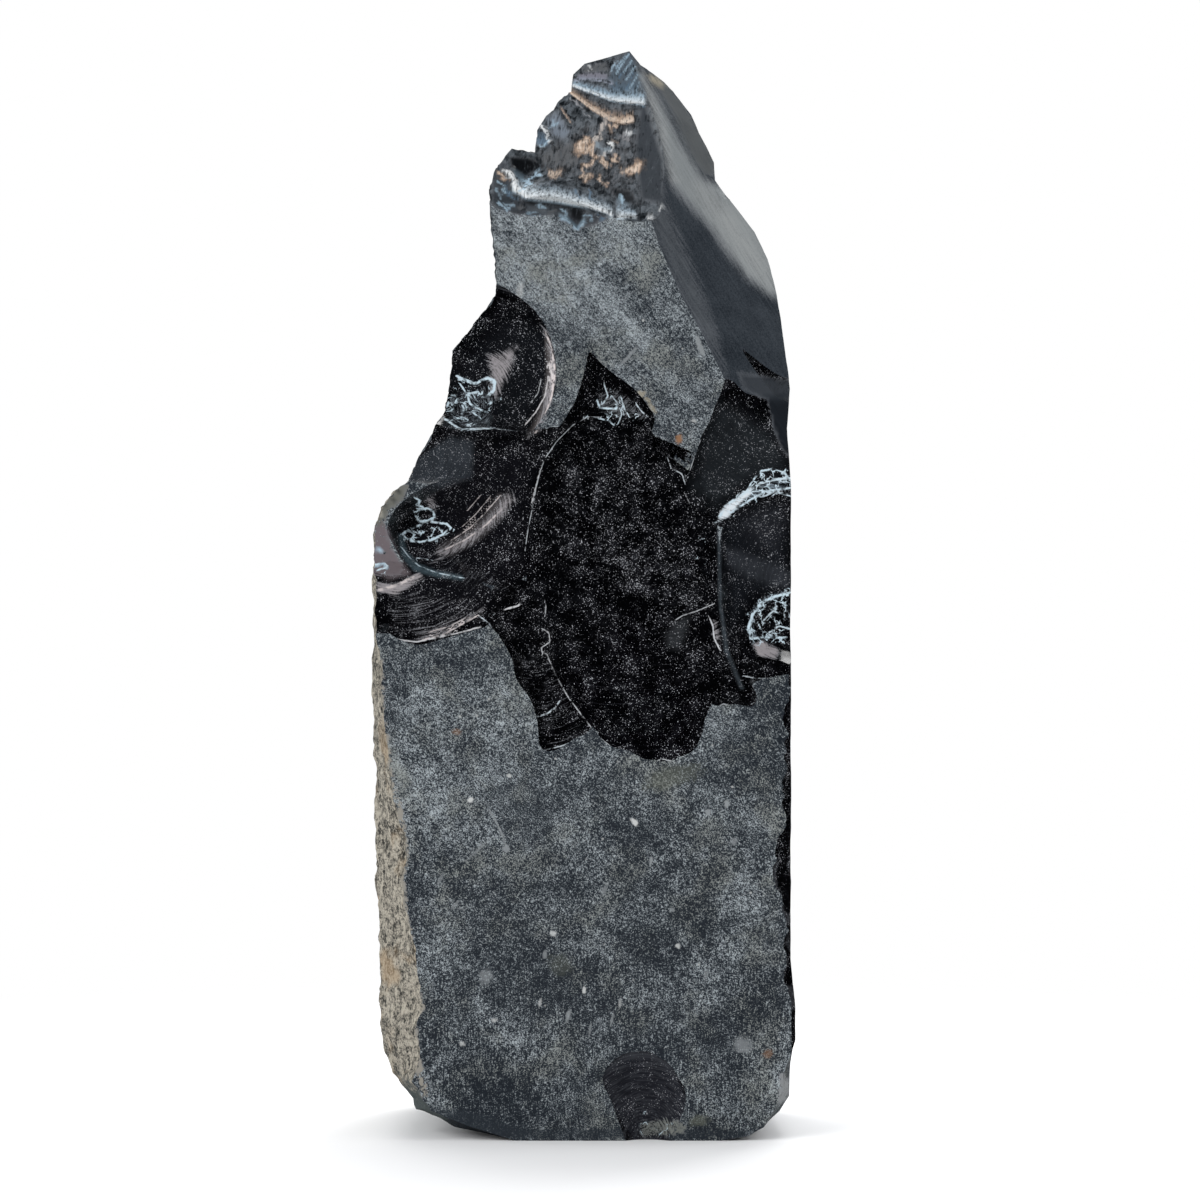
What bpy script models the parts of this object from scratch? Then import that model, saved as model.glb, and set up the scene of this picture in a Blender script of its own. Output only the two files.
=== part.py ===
"""Obsidian chunk: a tall broken block of black volcanic glass, standing on its flat base.

The front is a flat weathered skin with fresh flake scars across its middle. The left side is a
rough stony rind, the upper right a smooth curved facet, and the top a hackly break with a ledge.
Lengths are millimetres in the block's own axes, X right, Y back and Z up, and mesh_object turns
them into metres.
"""

import bmesh
import bpy
import numpy as np
from mathutils import Matrix, Vector

MM = 0.001

# Depth of the block: the flat front face, the widest section behind it, the middle and the back
FRONT = -33.0
SHOULDER = -21.0
MIDDLE = 2.0
BACK = 33.0

# Height at which the front skin ends below the hackly top
LEDGE = 203.0

# Behind the front, the left break is evened out: neighbours averaged, then moved in and down
LEFT_BREAK = (142.0, 221.0)
EVENED_AT_MIDDLE = (2, 4.5, 1.0)
EVENED_AT_BACK = (5, 9.0, 4.0)

# Scars: points around a rim's segment, rings from the centre to the rim, rim overrun, cutter height
RIM_STEPS = 2
RINGS = 7
OVERRUN = 1.5
CUT_HEIGHT = 6.0

# Base colours, roughness of each finish
SKIN_COLOUR = (0.075, 0.088, 0.102)
GLASS_COLOUR = (0.006, 0.006, 0.009)
RIND_COLOUR = (0.20, 0.19, 0.16)
SKIN_ROUGHNESS = 0.62
GLASS_ROUGHNESS = 0.12
RIND_ROUGHNESS = 0.92

# The front outline, clockwise from the left end of the base: each corner's x and z on the front
# face, then how far it moves outwards in x and z by the shoulder
OUTLINE = [
    (-15.0, 0.0, -6.5, 0.0),
    (-25.0, 3.0, -4.0, -1.5),
    (-34.0, 6.5, -3.5, -1.0),
    (-38.0, 13.0, -5.0, 0.5),
    (-36.5, 18.0, -8.0, 0.0),
    (-37.5, 24.5, -8.5, 0.0),
    (-36.0, 29.5, -10.0, 0.0),
    (-38.0, 41.0, -8.3, 0.0),
    (-39.5, 50.0, -7.0, 0.0),
    (-40.5, 57.5, -6.2, 0.0),
    (-39.5, 63.5, -7.3, 0.0),
    (-43.0, 79.0, -4.0, 0.0),
    (-45.0, 97.0, -2.5, 0.0),
    (-46.0, 119.0, -1.5, 0.0),
    (-46.5, 128.0, -0.8, 0.0),
    (-46.5, 134.5, -0.5, 0.0),
    (-45.0, 139.5, -0.5, 0.0),
    (-42.0, 143.0, -0.5, 0.0),
    (-39.0, 145.0, -0.5, 0.0),
    (-36.0, 151.5, 0.0, 0.0),
    (-33.5, 156.0, 0.0, 0.0),
    (-31.0, 160.5, 0.0, 0.5),
    (-30.0, 165.0, 0.0, 0.5),
    (-29.0, 174.0, 0.0, 0.5),
    (-26.0, 178.0, 0.0, 0.5),
    (-21.5, 183.5, 0.0, 0.5),
    (-19.5, 186.5, 0.0, 0.5),
    (-19.5, 194.0, 0.0, 0.5),
    (-20.5, 202.0, 0.0, 0.5),
    (-21.0, 209.5, 0.0, 0.5),
    (-20.0, 213.5, 0.0, 0.5),
    (-17.5, 217.0, 0.0, 0.5),
    (-16.0, 218.5, 0.0, 0.5),
    (-11.0, 218.0, 0.0, 0.5),
    (-10.5, 223.0, 0.0, 0.0),
    (-9.0, 225.5, 0.0, 0.0),
    (-6.0, 229.5, 0.0, 0.0),
    (-3.0, 232.0, 0.0, 0.0),
    (-2.5, 236.0, 0.0, 0.0),
    (0.0, 238.5, 0.0, 0.0),
    (3.5, 239.5, 0.0, 0.0),
    (10.0, 241.5, 0.0, 0.0),
    (12.5, 238.5, 0.0, 0.0),
    (18.0, 235.5, 0.0, 0.0),
    (23.5, 231.0, 0.0, 0.0),
    (26.0, 224.5, 0.0, 0.0),
    (29.5, 218.0, 0.0, 0.0),
    (29.5, 213.5, 0.0, 0.0),
    (33.0, 208.5, 0.0, 0.0),
    (38.5, 202.0, 0.0, 0.0),
    (41.5, 196.0, 0.0, 0.0),
    (43.5, 187.5, 0.0, 0.0),
    (45.6, 166.0, 0.0, 0.0),
    (44.6, 157.0, 0.3, 0.0),
    (45.5, 145.0, 0.5, 0.0),
    (45.5, 128.0, 0.4, 0.0),
    (45.5, 108.0, 0.3, 0.0),
    (45.4, 88.0, 0.4, 0.0),
    (45.5, 62.0, 0.3, 0.0),
    (45.3, 40.0, 0.4, 0.0),
    (46.5, 29.0, 0.0, 0.0),
    (46.5, 22.0, 0.3, 0.0),
    (43.5, 14.5, 2.2, -0.5),
    (43.5, 11.0, 2.0, -2.5),
    (42.0, 7.0, 1.3, -2.0),
    (39.5, 3.0, 0.0, -1.5),
    (36.0, 1.0, 0.5, -1.0),
    (30.0, 0.0, 3.0, 0.0),
]

# The smooth curved facet, by height from its lowest to the top: the x where it meets the front
# plane, its first slope backwards per millimetre to the right, and how fast that slope grows
FACET_ROWS = [
    (128.0, 46.0, 0.40, 0.000),
    (150.0, 38.5, 0.40, 0.004),
    (167.0, 31.0, 0.42, 0.010),
    (178.0, 25.5, 0.48, 0.014),
    (185.0, 21.5, 0.55, 0.014),
    (195.5, 17.0, 0.70, 0.010),
    (202.5, 14.5, 0.82, 0.006),
    (210.0, 13.5, 0.92, 0.004),
    (221.0, 10.8, 1.05, 0.002),
    (232.0, 5.7, 1.20, 0.000),
    (248.0, -4.0, 1.35, 0.000),
]

# The steeper strip behind the facet's upper end: the x of the crease by height, and the slope added
CREASE_HEIGHTS = (205.0, 210.0, 213.0, 217.5, 226.0, 233.0, 248.0)
CREASE_X = (60.0, 30.0, 27.0, 24.0, 21.0, 16.5, 10.0)
CREASE_SLOPE = 1.3

# The ledge's edge along x, and how far behind the front plane the break lies by height
LEDGE_X = (-24.0, -19.0, -10.0, -5.5, -2.0, 1.5, 5.5, 14.5, 24.0)
LEDGE_RISE = (2.3, 0.7, 0.1, -0.4, -2.4, -0.6, 0.5, 0.9, 1.0)
BREAK_HEIGHTS = (203.0, 206.0, 210.0, 214.0, 221.0, 232.0, 246.0)
BREAK_DEPTHS = (2.6, 2.2, 3.4, 5.2, 6.8, 9.6, 15.0)

# Ribs of the hackly break: the points that each runs through, how high and how wide it stands
RIBS = [
    ([(-2.0, 234.5), (4.5, 231.5), (12.5, 231.5)], 1.3, 1.3),
    ([(-3.0, 232.0), (1.5, 229.5), (5.0, 227.5), (10.5, 226.0)], 1.2, 1.2),
    ([(-9.0, 225.0), (-4.0, 224.5), (1.0, 221.0)], 1.0, 1.3),
    ([(-8.0, 219.0), (0.0, 217.5), (6.0, 219.5), (11.0, 215.0)], 1.2, 1.2),
    ([(-19.0, 213.0), (-16.5, 209.5), (-14.5, 208.0)], 1.3, 1.5),
    ([(-15.5, 208.5), (-10.5, 208.5), (-5.5, 207.5), (-1.5, 206.5), (5.5, 205.0), (14.0, 205.0)], 1.8, 1.3),
]
# Pockets of the same break: centre, radius and depth
POCKETS = [
    ((-12.5, 214.0), 3.5, 3.0),
    ((4.0, 211.5), 4.0, 1.6),
    ((7.0, 222.5), 3.0, 1.2),
    ((0.0, 226.5), 2.0, 1.0),
]

# Flake scars on the front: centre, rim, depth at the centre, and how late its floor turns up
CENTRE_SCAR = (
    (9.0, 157.0),
    [(9.5, 163.5), (3.5, 160.0), (-2.0, 157.0), (-7.0, 151.5), (-10.0, 145.5), (-11.5, 139.0),
     (-13.0, 131.0), (-13.0, 123.0), (-12.0, 116.5), (-8.5, 109.0), (-7.0, 104.0), (-4.0, 98.0),
     (0.0, 92.0), (4.5, 87.0), (9.5, 84.5), (15.5, 83.0), (23.0, 84.0), (25.5, 87.0), (27.0, 92.0),
     (29.0, 96.0), (32.0, 99.0), (33.0, 106.0), (31.5, 119.0), (30.0, 131.0), (28.0, 140.0),
     (23.0, 147.0), (19.0, 151.0), (15.5, 155.0)],
    4.5,
    2.2,
)
SPIKE_SCAR = (
    (5.5, 158.0),
    [(1.0, 174.0), (3.5, 171.5), (6.5, 169.0), (10.5, 166.0), (13.5, 162.5), (15.5, 158.5),
     (12.0, 152.0), (3.5, 147.5), (-5.5, 148.0), (-8.5, 154.0), (-5.5, 157.5), (-3.0, 161.5),
     (-1.5, 165.0), (0.0, 170.0)],
    5.0,
    1.4,
)
UPPER_LEFT_SCAR = (
    (-26.0, 165.0),
    [(-19.5, 188.5), (-15.5, 186.5), (-11.0, 183.0), (-8.0, 178.5), (-6.5, 173.0), (-6.0, 168.0),
     (-7.0, 163.0), (-9.5, 158.5), (-12.0, 156.0), (-17.5, 156.5), (-22.5, 157.0), (-27.0, 156.0),
     (-32.0, 157.0), (-37.0, 159.0), (-38.0, 169.0), (-34.0, 180.0), (-26.0, 188.0)],
    7.5,
    3.0,
)
MID_LEFT_SCAR = (
    (-33.0, 151.5),
    [(-40.0, 155.0), (-40.0, 147.0), (-35.0, 144.5), (-28.5, 145.0), (-20.0, 143.0), (-12.0, 142.0),
     (-9.5, 150.0), (-11.5, 156.0), (-17.5, 156.5), (-22.5, 157.0), (-27.0, 156.5), (-33.0, 159.0)],
    4.5,
    2.0,
)
LOWER_LEFT_SCAR = (
    (-36.0, 136.0),
    [(-43.5, 134.5), (-42.0, 131.0), (-39.5, 127.0), (-35.5, 125.0), (-31.0, 124.0), (-26.0, 124.0),
     (-18.5, 122.0), (-11.0, 126.0), (-10.5, 136.5), (-12.0, 144.0), (-20.0, 147.5), (-28.5, 146.5),
     (-34.0, 144.5), (-39.0, 141.5), (-42.0, 138.5)],
    6.5,
    2.5,
)
FLUTED_SCAR = (
    (-40.0, 119.0),
    [(-47.0, 127.0), (-52.0, 120.0), (-48.0, 112.5), (-43.0, 111.5), (-40.5, 110.0), (-36.5, 109.0),
     (-30.5, 110.5), (-25.0, 112.0), (-21.0, 113.5), (-19.5, 117.0), (-21.0, 122.0), (-29.5, 126.0),
     (-36.0, 127.0)],
    4.0,
    2.2,
)
COLUMN_SCAR = (
    (-11.0, 105.0),
    [(-23.0, 116.0), (-21.0, 113.5), (-18.5, 110.5), (-16.0, 106.0), (-15.0, 101.5), (-12.0, 97.0),
     (-10.5, 92.5), (-10.0, 87.0), (-8.5, 85.5), (-6.0, 86.0), (-3.0, 87.5), (1.5, 90.0), (2.0, 95.0),
     (-2.0, 100.0), (-5.5, 106.0), (-7.0, 114.0), (-10.0, 122.0), (-17.5, 124.0), (-21.5, 120.0)],
    4.2,
    2.0,
)
UPPER_RIGHT_SCAR = (
    (34.0, 150.0),
    [(31.0, 167.5), (30.0, 164.5), (28.5, 161.5), (27.5, 158.5), (25.5, 155.0), (24.5, 151.5),
     (23.5, 149.0), (22.5, 146.0), (25.0, 139.0), (29.5, 135.0), (36.0, 135.0), (46.0, 138.0),
     (50.0, 145.0), (47.0, 150.0), (45.0, 152.0), (42.5, 155.0), (41.5, 158.0), (41.0, 162.5),
     (38.0, 164.0), (36.0, 164.5), (34.5, 165.5), (33.0, 167.0)],
    4.5,
    2.4,
)
RIGHT_SCAR = (
    (42.0, 128.0),
    [(30.5, 136.0), (29.5, 129.0), (30.0, 125.0), (29.5, 121.0), (29.5, 116.5), (30.0, 113.5),
     (31.5, 110.0), (33.5, 105.5), (36.0, 103.0), (39.5, 102.0), (45.0, 102.5), (51.0, 104.0),
     (52.0, 128.0), (51.0, 147.0), (45.5, 148.5), (41.5, 147.5), (39.0, 146.5), (36.0, 143.5),
     (32.0, 139.5)],
    8.0,
    2.6,
)
CRUSHED_SCAR = (
    (44.5, 113.5),
    [(36.0, 110.5), (36.0, 113.5), (36.5, 115.5), (38.5, 118.5), (41.0, 120.0), (43.5, 120.5),
     (47.0, 120.5), (51.0, 118.0), (51.0, 108.0), (46.5, 106.0), (43.0, 106.5), (40.0, 107.0),
     (38.0, 108.5)],
    5.0,
    2.5,
)
STEP_SCAR = (
    (34.0, 101.0),
    [(28.0, 96.0), (33.0, 96.0), (37.0, 95.5), (38.0, 98.0), (37.0, 100.5), (39.0, 101.5),
     (42.5, 102.5), (39.5, 106.0), (33.0, 108.0), (27.5, 102.0)],
    2.6,
    3.0,
)
CHIP_SCAR = (
    (43.0, 167.0),
    [(35.0, 174.5), (36.5, 171.5), (41.0, 165.5), (43.5, 163.5), (50.0, 162.0), (50.0, 167.5),
     (44.0, 168.5), (39.0, 171.5)],
    2.2,
    2.0,
)
BASE_SCAR = (
    (13.5, 4.0),
    [(4.0, 14.0), (5.0, 16.5), (6.5, 18.5), (8.5, 19.5), (11.0, 20.0), (14.0, 20.0), (16.0, 19.0),
     (18.5, 17.5), (20.0, 15.5), (21.5, 13.0), (22.5, 10.0), (21.5, 5.5), (19.0, 1.0), (17.0, -4.0),
     (11.0, -4.0), (8.0, 3.0), (6.0, 8.5), (4.5, 11.5)],
    2.8,
    2.0,
)

# Small chips along the front's right edge: height, length along the edge, reach onto the face
EDGE_CHIPS = [
    (94.0, 7.0, 2.2),
    (85.5, 6.0, 1.5),
    (77.0, 8.0, 1.8),
    (60.0, 13.0, 4.0),
    (49.0, 7.0, 1.5),
    (40.0, 8.0, 1.8),
]


def remove_scene_objects():
    for item in list(bpy.data.objects):
        bpy.data.objects.remove(item, do_unlink=True)


def finish(name, colour, roughness):
    material = bpy.data.materials.new(name)
    material.use_nodes = True
    shader = material.node_tree.nodes["Principled BSDF"]
    shader.inputs["Base Color"].default_value = (*colour, 1.0)
    shader.inputs["Roughness"].default_value = roughness
    shader.inputs["Metallic"].default_value = 0.0
    material.diffuse_color = (*colour, 1.0)
    return material


def mesh_object(name, points, faces, material):
    """A mesh object from points in millimetres, its faces turned to point out."""
    mesh = bpy.data.meshes.new(name)
    mesh.from_pydata([Vector(point) * MM for point in points], [], faces)
    shape = bmesh.new()
    shape.from_mesh(mesh)
    bmesh.ops.recalc_face_normals(shape, faces=shape.faces)
    shape.to_mesh(mesh)
    shape.free()
    mesh.materials.append(material)
    item = bpy.data.objects.new(name, mesh)
    bpy.context.scene.collection.objects.link(item)
    return item


def ring_walls(first, second, count):
    """Quads between two rings of points that start at these indices."""
    quads = []
    for i in range(count):
        after = (i + 1) % count
        quads.append((first + i, first + after, second + after, second + i))
    return quads


def cut(block, cutter):
    """Hides the cutter and takes it out of the block."""
    cutter.hide_render = True
    cutter.display_type = "WIRE"
    modifier = block.modifiers.new(cutter.name, "BOOLEAN")
    modifier.operation = "DIFFERENCE"
    modifier.solver = "EXACT"
    modifier.material_mode = "TRANSFER"
    modifier.object = cutter


def evened(outline, rule):
    """The outline with its left break averaged over some neighbours each way and moved inwards."""
    reach, inwards, down = rule
    low, high = LEFT_BREAK
    result = []
    for i, (x, z) in enumerate(outline):
        if x > -8.0 or not low < z < high:
            result.append((x, z))
            continue
        near = np.mean(outline[i - reach : i + reach + 1], axis=0)
        result.append((near[0] + inwards, near[1] - down))
    return result


def block_object(material):
    """The whole block before any break: four outlines from front to back, joined side by side."""
    front = [(x, z) for x, z, out_x, out_z in OUTLINE]
    shoulder = [(x + out_x, max(z + out_z, 0.0)) for x, z, out_x, out_z in OUTLINE]
    middle = [(x * 0.985, z) for x, z in evened(shoulder, EVENED_AT_MIDDLE)]
    back = [(x * 0.93, z) for x, z in evened(shoulder, EVENED_AT_BACK)]
    rings = []
    for depth, outline in ((FRONT, front), (SHOULDER, shoulder), (MIDDLE, middle), (BACK, back)):
        rings += [(x, depth, z) for x, z in outline]
    count = len(OUTLINE)
    faces = [tuple(range(count)), tuple(range(3 * count, 4 * count))]
    for ring in range(3):
        faces += ring_walls(ring * count, (ring + 1) * count, count)
    return mesh_object("obsidian_chunk", rings, faces, material)


def facet_depth(x, z):
    """How far the curved facet lies behind the front plane."""
    heights = [row[0] for row in FACET_ROWS]
    start = np.interp(z, heights, [row[1] for row in FACET_ROWS])
    slope = np.interp(z, heights, [row[2] for row in FACET_ROWS])
    growth = np.interp(z, heights, [row[3] for row in FACET_ROWS])
    across = x - start
    crease = np.interp(z, CREASE_HEIGHTS, CREASE_X)
    return slope * across + growth * across * abs(across) + CREASE_SLOPE * max(x - crease, 0.0)


def distance_to_line(x, z, points):
    """Distance from a point to a chain of straight pieces."""
    nearest = 1000.0
    spot = np.array((x, z))
    for start, end in zip(points[:-1], points[1:]):
        start, end = np.array(start), np.array(end)
        along = np.clip(np.dot(spot - start, end - start) / np.dot(end - start, end - start), 0, 1)
        nearest = min(nearest, np.linalg.norm(spot - start - along * (end - start)))
    return nearest


def break_depth(x, z):
    """How far the hackly break lies behind the front plane, with its ribs and pockets."""
    depth = np.interp(z, BREAK_HEIGHTS, BREAK_DEPTHS)
    for points, height, width in RIBS:
        depth -= height * np.exp(-((distance_to_line(x, z, points) / width) ** 2))
    for (pocket_x, pocket_z), radius, hollow in POCKETS:
        away = np.hypot(x - pocket_x, z - pocket_z)
        depth += hollow * np.exp(-((away / radius) ** 2))
    return max(depth, 0.4)


def slab_object(name, surface, outwards, material):
    """A closed cutter between a grid of points and the same grid moved outwards."""
    rows, columns = len(surface), len(surface[0])
    lower = [tuple(point) for row in surface for point in row]
    upper = [tuple(np.add(point, outwards)) for point in lower]
    size = rows * columns
    faces = []
    for i in range(rows - 1):
        for j in range(columns - 1):
            a = i * columns + j
            quad = (a, a + 1, a + columns + 1, a + columns)
            faces.append(quad)
            faces.append(tuple(corner + size for corner in quad))
    edge = list(range(columns))
    edge += [i * columns + columns - 1 for i in range(1, rows)]
    edge += [(rows - 1) * columns + j for j in range(columns - 2, -1, -1)]
    edge += [i * columns for i in range(rows - 2, 0, -1)]
    for a, b in zip(edge, edge[1:] + edge[:1]):
        faces.append((a, b, b + size, a + size))
    return mesh_object(name, lower + upper, faces, material)


def facet_cutter(material):
    """The curved facet, from a little left of its front edge to past the right side."""
    surface = []
    for z in np.linspace(132.0, 246.0, 32):
        start = np.interp(z, [row[0] for row in FACET_ROWS], [row[1] for row in FACET_ROWS])
        columns = np.linspace(start - 4.0, 62.0, 16)
        surface.append([(x, FRONT + facet_depth(x, z), z) for x in columns])
    return slab_object("facet_cutter", surface, (0.0, -90.0, 0.0), material)


def break_cutter(material):
    """The hackly break above the ledge."""
    surface = []
    for rise in np.linspace(0.0, 43.0, 28):
        row = []
        for x in np.linspace(-24.0, 22.0, 30):
            z = LEDGE + rise + np.interp(x, LEDGE_X, LEDGE_RISE) * (1.0 - rise / 43.0)
            row.append((x, FRONT + break_depth(x, z), z))
        surface.append(row)
    return slab_object("break_cutter", surface, (0.0, -40.0, 0.0), material)


def back_cutter(name, frame, size, hollow, material):
    """A large shallow flake off the back: a dished sheet square to the frame's third axis."""
    surface = []
    for u in np.linspace(-1.0, 1.0, 9):
        row = []
        for v in np.linspace(-1.0, 1.0, 9):
            lift = hollow * (u * u + 0.6 * v * v - 0.5)
            row.append(tuple(frame @ Vector((u * size, v * size, lift))))
        surface.append(row)
    outwards = frame.to_3x3() @ Vector((0.0, 0.0, 80.0))
    return slab_object(name, surface, tuple(outwards), material)


def shell_scar(place, size, turn, depth, turn_up):
    """A flake scar of the plain shell shape: struck at its narrow end, feathered at its wide one."""
    (place_u, place_v), (width, length) = place, size
    rim = []
    for angle in np.linspace(0.0, 2.0 * np.pi, 14, endpoint=False):
        u = width / 2 * np.sin(angle) * (1.0 - 0.25 * np.cos(angle))
        v = length * (0.35 - 0.5 * np.cos(angle))
        rim.append((
            place_u + u * np.cos(turn) - v * np.sin(turn),
            place_v + u * np.sin(turn) + v * np.cos(turn),
        ))
    return (place_u, place_v), rim, depth, turn_up


def rounded(points, steps):
    """A closed smooth curve through the points, with this many steps from each to the next."""
    curve = []
    count = len(points)
    for i in range(count):
        before, start, end, after = (np.array(points[(i + k) % count]) for k in (-1, 0, 1, 2))
        for step in range(steps):
            t = step / steps
            curve.append(
                0.5 * (2 * start + (end - before) * t
                       + (2 * before - 5 * start + 4 * end - after) * t**2
                       + (3 * start - before - 3 * end + after) * t**3)
            )
    return curve


def flat_ground(u, v):
    """A rim that lies on the face itself."""
    return 0.0


def facet_ground(x, z):
    """A rim that lies on the front skin and on the curved facet."""
    return max(facet_depth(x, z), 0.0)


def bowl_ground(x, z):
    """A rim inside the right scar."""
    return 4.0


def face_frame(place, normal):
    """Axes on a face: u to its right, v up it, and the third out of it."""
    out = Vector(normal).normalized()
    right = Vector((0.0, 0.0, 1.0)).cross(out).normalized()
    up = out.cross(right)
    turn = Matrix((right, up, out)).transposed().to_4x4()
    return Matrix.Translation(Vector(place)) @ turn


def scar_cutter(name, frame, scar, material, ground=flat_ground):
    """A bowl whose rim lies on the ground, a depth below the frame's plane, closed above it."""
    (centre_u, centre_v), rim, depth, turn_up = scar
    rim = rounded(rim, RIM_STEPS)
    centre = np.array((centre_u, centre_v))
    points = [(centre_u, centre_v, -depth - ground(centre_u, centre_v))]
    for ring in range(1, RINGS + 1):
        share = ring / RINGS
        for edge in rim:
            u, v = centre + share * (edge - centre)
            points.append((u, v, -ground(u, v) - depth * (1.0 - share**turn_up)))
    outer, top = [], []
    for edge in rim:
        away = edge - centre
        reach = np.linalg.norm(away)
        u, v = edge + away / reach * OVERRUN
        rise = min(turn_up * depth / reach * OVERRUN, CUT_HEIGHT / 2)
        outer.append((u, v, rise - ground(u, v)))
        top.append((u, v, CUT_HEIGHT))
    points += outer + top
    points.append((centre_u, centre_v, CUT_HEIGHT))
    points = [tuple(frame @ Vector(point)) for point in points]
    count = len(rim)
    faces = [(0, 1 + i, 1 + (i + 1) % count) for i in range(count)]
    for ring in range(RINGS + 1):
        faces += ring_walls(1 + ring * count, 1 + (ring + 1) * count, count)
    top = 1 + (RINGS + 1) * count
    faces += [(len(points) - 1, top + i, top + (i + 1) % count) for i in range(count)]
    return mesh_object(name, points, faces, material)


def edge_chip_cutter(name, height, length, reach, material):
    """A short flat flake off the edge between the front and the right side."""
    across, half = 45.8, length / 2
    points = [
        (across - reach, FRONT - 1.0, height - half * 0.3),
        (across - reach * 0.7, FRONT - 1.0, height + half * 0.6),
        (across + 3.0, FRONT - 1.0, height + half * 1.2),
        (across + 3.0, FRONT - 1.0, height - half * 1.2),
        (across + 0.2, FRONT + reach * 1.2, height - half * 0.1),
        (across + 3.0, FRONT + reach * 2.2, height + half * 0.2),
    ]
    shape = bmesh.new()
    for point in points:
        shape.verts.new(point)
    bmesh.ops.convex_hull(shape, input=shape.verts)
    corners = [tuple(vertex.co) for vertex in shape.verts]
    shape.verts.index_update()
    faces = [tuple(vertex.index for vertex in face.verts) for face in shape.faces]
    shape.free()
    return mesh_object(name, corners, faces, material)


def cut_front(block, glass):
    """The facet and the scars, each rim on the front plane or on the surface it was struck from."""
    front = face_frame((0.0, FRONT, 0.0), (0.0, -1.0, 0.0))
    cut(block, facet_cutter(glass))
    cut(block, break_cutter(glass))
    cut(block, scar_cutter("centre_scar", front, CENTRE_SCAR, glass))
    cut(block, scar_cutter("spike_scar", front, SPIKE_SCAR, glass))
    cut(block, scar_cutter("upper_left_scar", front, UPPER_LEFT_SCAR, glass))
    cut(block, scar_cutter("mid_left_scar", front, MID_LEFT_SCAR, glass))
    cut(block, scar_cutter("lower_left_scar", front, LOWER_LEFT_SCAR, glass))
    cut(block, scar_cutter("fluted_scar", front, FLUTED_SCAR, glass))
    cut(block, scar_cutter("column_scar", front, COLUMN_SCAR, glass))
    cut(block, scar_cutter("upper_right_scar", front, UPPER_RIGHT_SCAR, glass, facet_ground))
    cut(block, scar_cutter("right_scar", front, RIGHT_SCAR, glass))
    cut(block, scar_cutter("crushed_scar", front, CRUSHED_SCAR, glass, bowl_ground))
    cut(block, scar_cutter("step_scar", front, STEP_SCAR, glass))
    cut(block, scar_cutter("chip_scar", front, CHIP_SCAR, glass, facet_ground))
    cut(block, scar_cutter("base_scar", front, BASE_SCAR, glass))
    for number, (height, length, reach) in enumerate(EDGE_CHIPS, 1):
        cut(block, edge_chip_cutter(f"edge_chip_{number}", height, length, reach, glass))


def cut_back(block, glass, rind):
    """The breaks that shape the back, which slopes forward to the thin top, and its own scars."""
    slope = face_frame((8.0, 10.5, 195.0), (-0.04, 0.90, 0.43))
    left = face_frame((-39.0, 24.0, 90.0), (-0.72, 0.68, 0.12))
    right = face_frame((40.0, 27.0, 60.0), (0.66, 0.75, -0.05))
    back = face_frame((0.0, BACK, 0.0), (0.0, 1.0, 0.0))
    side = face_frame((45.0, 0.0, 100.0), (1.0, 0.0, 0.0))
    cut(block, back_cutter("upper_back_cutter", slope, 110.0, 5.0, glass))
    cut(block, back_cutter("left_back_cutter", left, 130.0, 4.0, rind))
    cut(block, back_cutter("right_back_cutter", right, 110.0, 3.0, glass))
    shoulder_flake = shell_scar((31.0, -18.0), (50.0, 56.0), 1.35, 5.5, 2.0)
    cut(block, scar_cutter("slope_scar", slope, shoulder_flake, glass))
    heel_flake = shell_scar((-6.0, 2.0), (44.0, 50.0), 0.15, 5.0, 2.2)
    cut(block, scar_cutter("heel_scar", back, heel_flake, glass))
    loin_flake = shell_scar((-38.0, 82.0), (48.0, 56.0), -1.4, 5.0, 2.0)
    cut(block, scar_cutter("loin_scar", back, loin_flake, glass))
    flank_flake = shell_scar((29.0, 18.0), (40.0, 46.0), 1.3, 4.5, 2.0)
    cut(block, scar_cutter("flank_scar", side, flank_flake, glass))


def main():
    remove_scene_objects()
    skin = finish("weathered_skin", SKIN_COLOUR, SKIN_ROUGHNESS)
    glass = finish("fresh_glass", GLASS_COLOUR, GLASS_ROUGHNESS)
    rind = finish("stony_rind", RIND_COLOUR, RIND_ROUGHNESS)
    block = block_object(skin)
    cut_back(block, glass, rind)
    cut_front(block, glass)


main()
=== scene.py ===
"""A tall broken block of black volcanic glass on a pale floor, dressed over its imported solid."""

import bmesh
import bpy
import numpy as np
from mathutils import Matrix, Vector, noise


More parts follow.
